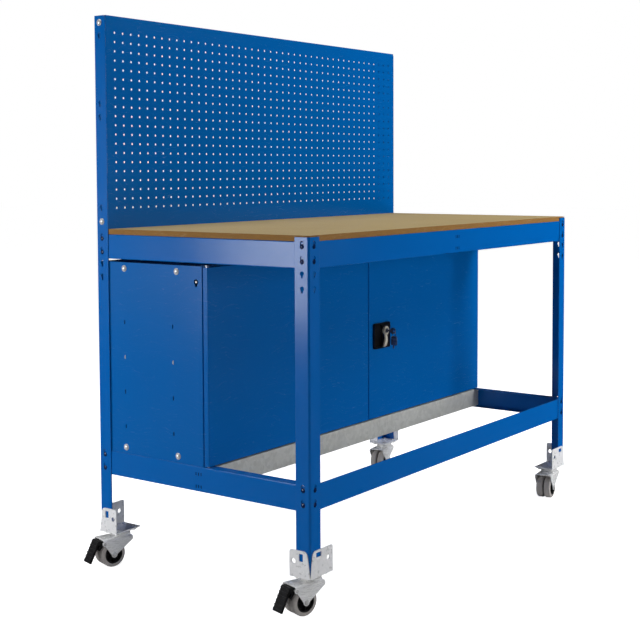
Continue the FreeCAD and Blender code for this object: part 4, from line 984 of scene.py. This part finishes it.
@dataclass(frozen=True)
class SwingLock:
    """Lock case, its swept lever, the key and what hangs on its ring; sizes in millimetres."""

    plate_edge: float = 0.8
    head_radius: float = 12.0
    head_stretch: float = 1.2
    head_depth: float = 9.0
    head_round: float = 0.7
    ring_width: float = 3.8
    groove_width: float = 1.2
    groove_depth: float = 2.2
    cap_inset: float = 0.8
    cap_rise: float = 1.4
    paddle_size: Point = (16.5, 8.0, 8.0)
    paddle_shift: Point = (-1.0, 5.0, -8.0)
    paddle_steps: tuple[tuple[float, float, float, float], ...] = (   # across, down, width, out
        (1.0, -7.5, 0.86, 0.0), (0.0, -7.5, 1.0, 0.4), (-2.5, -8.5, 1.22, 0.5),
        (-4.5, -8.5, 1.12, 0.3), (-3.0, -5.5, 0.88, -0.2), (-1.0, -2.5, 0.66, -0.4))
    dish_below: float = 16.0
    dish_inset: float = 2.1
    dish_depth: float = 0.9
    boss_radius: float = 10.6
    boss_depth: float = 8.0
    boss_overlap: float = 0.1
    pin_inset: float = 5.8
    key_shift: Point = (3.4, 15.0, 27.0)
    bow_radius: float = 8.5
    bow_thickness: float = 1.8
    bow_drop: float = 6.0
    bow_rim: float = 2.0
    bow_step: float = 0.6
    blade_size: Point = (1.6, 5.4, 22.0)
    blade_drop: float = 25.0
    blade_tip: float = 2.0
    blade_narrow: float = 0.55
    groove_end: float = 34.0
    blade_rim: float = 1.3
    sunk: float = 0.25
    bow_round: float = 0.25
    blade_round: float = 0.2

    def dress(self) -> None:
        """Covers the lock's nodes, and replaces the lever by the swept one."""
        cover("lock_plate", Paintbox.lock_case, self.plate_edge)
        cover("lock_cam", Paintbox.fastener_zinc)
        cover("lock_key", Paintbox.key)
        self._lever()
        self._spare_key()

    def _lever(self) -> None:
        """Round head with a sunk ring, and a paddle that sweeps down and to the left."""
        x, _, z = [value / MM for value in joint("lock_lever_turn")["pos_m"]]
        low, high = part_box("lock_lever")
        front = low.y / MM
        back = front + self.head_depth
        middle = (x, front + self.head_depth / 2, z)
        head = Workpiece.cylinder("head", self.head_radius, self.head_depth, middle, ALONG_Y,
                                  sides=64)
        head.pick(facing(FRONT)).inset(self.ring_width).inset(self.groove_width)
        head.move((0.0, self.groove_depth, 0.0)).inset(self.cap_inset)
        head.move((0.0, -self.cap_rise, 0.0))
        head.pick(lambda place, normal: True).resize((1.0, 1.0, self.head_stretch))
        head.soften(self.head_round, segments=3)
        start = Vector((x, front, z)) + Vector(self.paddle_shift)
        paddle = Workpiece.cube("paddle", self.paddle_size, start).pick(facing(-UP, least=0.8))
        for across, down, width, out in self.paddle_steps:
            paddle.extrude((across, -out, down)).resize((width, 1.0, 1.0))
        paddle.pick(lambda place, normal: normal.y < -0.8 and place.z < z - self.dish_below)
        paddle.inset(self.dish_inset).move((0.0, self.dish_depth, 0.0))
        paddle.modify("SUBSURF", levels=3, render_levels=3)
        centre = (x, back + self.boss_depth / 2 - self.boss_overlap, z)
        boss = Workpiece.cylinder("boss", self.boss_radius, self.boss_depth, centre, ALONG_Y)
        reach = high.y / MM - back - self.boss_depth + self.boss_overlap
        boss.pick(facing(REAR)).inset(self.pin_inset).extrude((0.0, reach, 0.0))
        head.absorb([paddle, boss], "lever_swept")
        piece = head.hand_over(Paintbox.lever, "lever", "lever_chrome")
        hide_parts("lock_lever")

    def _spare_key(self) -> None:
        """Second key that hangs on the ring beside the tag."""
        low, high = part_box("lock_key")
        x = (low.x + high.x) / 2 / MM + self.key_shift[0]
        y = low.y / MM + self.key_shift[1]
        top = low.z / MM + self.key_shift[2]
        bow = Workpiece.cylinder("bow", self.bow_radius, self.bow_thickness,
                                 (x, y, top - self.bow_drop), ALONG_X, sides=40)
        bow.pick(lambda place, normal: abs(normal.x) > 0.9).inset(self.bow_rim)
        bow.inset(self.bow_step, -self.sunk).soften(self.bow_round)
        blade = Workpiece.cube("blade", self.blade_size, (x, y, top - self.blade_drop))
        blade.pick(facing(-UP)).extrude((0.0, 0.0, -self.blade_tip))
        blade.resize((1.0, self.blade_narrow, 1.0))
        blade.pick(lambda place, normal: abs(normal.x) > 0.9
                   and place.z > top - self.groove_end).inset(self.blade_rim, -self.sunk)
        bow.absorb([blade.soften(self.blade_round, segments=1)], "spare_key")
        bow.hand_over(Paintbox.key, "key", "key_steel")


@dataclass(frozen=True)
class Castors:
    """Brackets, plates, forks, wheels and brake pedals, and their pressed and moulded details.

    Sizes are in millimetres.
    """

    pedal_edge: float = 0.6
    spoke_count: int = 8
    spoke_inner: float = 9.0
    spoke_outer: float = 24.0
    spoke_depth: float = 5.6
    spoke_thickness: float = 1.8
    spoke_taper: float = 0.6
    spoke_offset: float = 5.4
    spoke_round: float = 0.35
    lip_radius: float = 27.0
    lip_wire: float = 1.0
    lip_draw: float = 0.985
    lip_height: float = 87.4
    tab_size: Point = (17.0, 1.0, 9.0)
    tab_rise: Point = (0.0, -0.9, 0.8)
    tab_taper: Point = (0.8, 1.0, 0.55)
    tab_rim: float = 1.6
    tab_dish: float = 0.3
    tab_round: float = 0.5
    front_tab: Point = (35.5, 0.2, 143.0)
    side_tab: Point = (0.2, 30.5, 138.0)
    side_tab_share: float = 0.62
    bead_size: Point = (52.0, 0.8, 4.2)
    bead_place: Point = (-20.0, 28.9, 78.4)
    bead_rise: float = 0.5
    bead_taper: Point = (0.94, 1.0, 0.45)
    bead_round: float = 0.4
    shallow_angle: float = 20.0

    def dress(self) -> None:
        """Covers the castors' nodes and adds their details."""
        cover("castor_brackets", Paintbox.bracket_zinc)
        cover(("castor_plates", "fork_"), Paintbox.castor_zinc)
        cover(("castor_bolts", "axle_"), Paintbox.fastener_zinc)
        cover("tyre_", Paintbox.tyre)
        cover("hub_", Paintbox.hub)
        cover("brake_pedal_", Paintbox.pedal, self.pedal_edge)
        self._hub_spokes()
        self._race_lips()
        self._bracket_tabs()
        self._fork_beads()

    def _hub_spokes(self) -> None:
        """Spokes in the outer recess of each hub."""
        size = (self.spoke_outer - self.spoke_inner, self.spoke_depth, self.spoke_thickness)
        middle = ((self.spoke_outer + self.spoke_inner) / 2, 0.0, 0.0)
        spoke = Workpiece.cube("spoke", size, middle)
        spoke.pick(facing(REAR)).resize((1.0, 1.0, self.spoke_taper))
        spoke.soften(self.spoke_round, segments=1)
        spokes = spoke.copies({
            f"spoke_{index}": Matrix.Rotation(math.tau * index / self.spoke_count, 4, "Y")
            for index in range(self.spoke_count)})
        places = {}
        for corner in Corner:
            for wheel, side in (("a", -1.0), ("b", 1.0)):
                place = axis_frame(f"wheel_{corner.value}_{wheel}_spin")
                low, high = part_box(f"hub_{corner.value}_{wheel}")
                offset = (place.inverted() @ ((low + high) / 2)).y + side * self.spoke_offset * MM
                inside = Matrix.Translation((0.0, offset, 0.0))
                turn = Matrix.Diagonal((1.0, side, 1.0, 1.0))
                places[f"hub_spokes_{corner.value}_{wheel}"] = place @ inside @ turn
        for piece in spokes[0].absorb(spokes[1:], "spokes").copies(places):
            body = piece.object.name.replace("hub_spokes", "wheel")
            piece.hand_over(Paintbox.hub, body, "hub_black")

    def _race_lips(self) -> None:
        """Rolled lip round each ball race."""
        lip = Workpiece.torus("lip", self.lip_radius, self.lip_wire)
        lip.pick(facing(UP, least=0.6)).resize((self.lip_draw, self.lip_draw, 1.0))
        places = {}
        for corner in Corner:
            x, y, _ = joint("swivel_" + corner.value)["pos_m"]
            place = Matrix.Translation((x, y, self.lip_height * MM))
            places[f"race_lip_{corner.value}"] = place
        for piece in lip.copies(places):
            piece.hand_over(Paintbox.castor_zinc, "root", "zinc_castor")

    def _bracket_tabs(self) -> None:
        """Pressed tab, a low ramp, under each slot of the brackets."""
        low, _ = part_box("castor_brackets")
        corner_point = Vector((low.x, low.y, 0.0))
        tab = Workpiece.cube("tab", self.tab_size, (0.0, 0.0, 0.0))
        tab.pick(facing(FRONT)).extrude(self.tab_rise).resize(self.tab_taper)
        tab.pick(facing(FRONT)).inset(self.tab_rim).move((0.0, self.tab_dish, 0.0))
        tab.soften(self.tab_round, angle=self.shallow_angle)
        front = Matrix.Translation(corner_point + Vector(self.front_tab) * MM)
        side = Matrix.Translation(corner_point + Vector(self.side_tab) * MM)
        side = side @ Matrix.Rotation(-math.pi / 2, 4, "Z")
        side = side @ Matrix.Scale(self.side_tab_share, 4, (1, 0, 0))
        places = {f"bracket_tab_{face}_{corner.value}": corner.mirror() @ place
                  for corner in Corner for face, place in (("front", front), ("side", side))}
        for piece in tab.copies(places):
            piece.hand_over(Paintbox.bracket_zinc, "root", "galvanised_steel")

    def _fork_beads(self) -> None:
        """Pressed bead along the lower edge of each leg, on both sides of the forks."""
        x, y, z = self.bead_place
        beads = []
        for side in (-1.0, 1.0):
            bead = Workpiece.cube("bead", self.bead_size, (x, side * y, z))
            bead.pick(facing(REAR * side)).extrude((0.0, side * self.bead_rise, 0.0))
            bead.resize(self.bead_taper).soften(self.bead_round, angle=self.shallow_angle)
            beads.append(bead)
        places = {f"fork_beads_{corner.value}": corner.castor_frame() for corner in Corner}
        for piece in beads[0].absorb(beads[1:], "beads").copies(places):
            body = piece.object.name.replace("fork_beads", "castor")
            piece.hand_over(Paintbox.castor_zinc, body, "zinc_castor")


# ---------------------------------------------------------------- studio


@dataclass(frozen=True)
class Softbox:
    """One rectangular studio light that looks at a point."""

    name: str
    place: Point
    aim: Point
    size: tuple[float, float]
    power: float
    mirrored: bool = True               # whether rays that bounce off gloss see the lamp itself

    def build(self) -> None:
        """Adds the light."""
        data = bpy.data.lights.new(self.name, "AREA")
        data.shape = "RECTANGLE"
        data.size, data.size_y = self.size
        data.energy = self.power
        light = bpy.data.objects.new(self.name, data)
        light.location = self.place
        view = Vector(self.aim) - Vector(self.place)
        light.rotation_euler = view.to_track_quat("-Z", "Y").to_euler()
        light.visible_camera = False
        light.visible_glossy = self.mirrored
        bpy.context.scene.collection.objects.link(light)


@dataclass(frozen=True)
class Studio:
    """Pale floor, soft light and the camera; lengths in metres, angles in degrees."""

    floor_size: float = 60.0
    backdrop: float = 1.0
    surround: float = 0.06
    reflected_horizon: float = 0.0
    reflected_sky: float = 0.9
    sky_start: float = 0.7
    sky_full: float = 0.95
    sensor: float = 36.0
    focal_pixels: float = 1236.5
    picture_pixels: float = 640.0
    horizon_row: float = 243.2
    camera_place: Point = (-3.2236, -2.1987, 1.1346)
    heading: float = 35.87
    tilt: float = 3.37
    roll: float = 0.23
    softboxes: tuple[Softbox, ...] = (
        Softbox("right_softbox", (1.7, -1.7, 2.5), (0.8, -0.1, 1.0), (1.0, 1.0), 35.0, False),
        Softbox("low_right_softbox", (1.5, -3.0, 0.9), (0.6, 0.0, 0.6), (1.2, 1.2), 44.0, False),
        Softbox("front_softbox", (-1.2, -5.0, 2.6), (0.0, 0.0, 0.7), (3.0, 2.0), 4.0, False),
        Softbox("left_softbox", (-3.8, 1.55, 1.05), (-0.75, -0.37, 0.9), (1.4, 1.4), 38.0),
        Softbox("rear_left_softbox", (-1.9, 1.7, 1.0), (-0.75, 0.3, 0.5), (1.0, 1.0), 17.0,
                False),
        Softbox("top_softbox", (-0.5, 0.1, 4.4), (-0.3, -0.1, 0.9), (2.6, 1.6), 78.0),
    )

    def build(self) -> None:
        """Adds floor, lights, world and camera."""
        self._floor()
        for box in self.softboxes:
            box.build()
        self._world()
        self._camera()
        bpy.context.scene.view_settings.view_transform = "Standard"

    def _floor(self) -> None:
        """Adds the floor, which doesn't show in reflections."""
        Workpiece.clear()
        bpy.ops.mesh.primitive_plane_add(size=self.floor_size)
        floor = bpy.context.view_layer.objects.active
        floor.name = "studio_floor"
        floor.data.materials.append(Paintbox.floor.material())
        floor.visible_glossy = False

    def _world(self) -> None:
        """Adds a white backdrop that lights faintly, and reflects as a bright sky overhead."""
        world = bpy.data.worlds.new("studio_white")
        world.use_nodes = True
        graph = Graph(world.node_tree)
        path = graph.add("LightPath").outputs
        point = graph.add("TexCoord").outputs["Generated"]
        height = graph.add("SeparateXYZ", {0: point}).outputs["Z"]
        sky = graph.ramp(height, self.sky_start, self.sky_full, self.reflected_horizon,
                         self.reflected_sky)
        change = graph.maths("SUBTRACT", sky, self.surround)
        lit = graph.plus(graph.times(path["Is Glossy Ray"], change), self.surround)
        seen = graph.times(path["Is Camera Ray"], self.backdrop - self.surround)
        background = world.node_tree.nodes["Background"].inputs
        background["Color"].default_value = WHITE
        graph.tree.links.new(graph.plus(lit, seen), background["Strength"])
        bpy.context.scene.world = world

    def _camera(self) -> None:
        """Adds the camera, with only the shift that its framing needs."""
        data = bpy.data.cameras.new("camera")
        data.sensor_width = self.sensor
        data.lens = self.focal_pixels / self.picture_pixels * self.sensor
        data.shift_y = (self.horizon_row - self.picture_pixels / 2) / self.picture_pixels
        camera = bpy.data.objects.new("camera", data)
        camera.location = self.camera_place
        turn = (90.0 - self.tilt, self.roll, self.heading - 90.0)
        camera.rotation_euler = [math.radians(angle) for angle in turn]
        bpy.context.scene.collection.objects.link(camera)
        bpy.context.scene.camera = camera


def main() -> None:
    """Builds the bench's looks in order, then the studio."""
    logging.basicConfig(level=logging.INFO, format="%(name)s: %(message)s")
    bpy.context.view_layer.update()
    for part in (PaintedFrame(), Cupboard(), SwingLock(), Castors()):
        part.dress()
        LOG.info("%s is dressed", type(part).__name__)
    Studio().build()


if __name__ == "__main__":
    main()
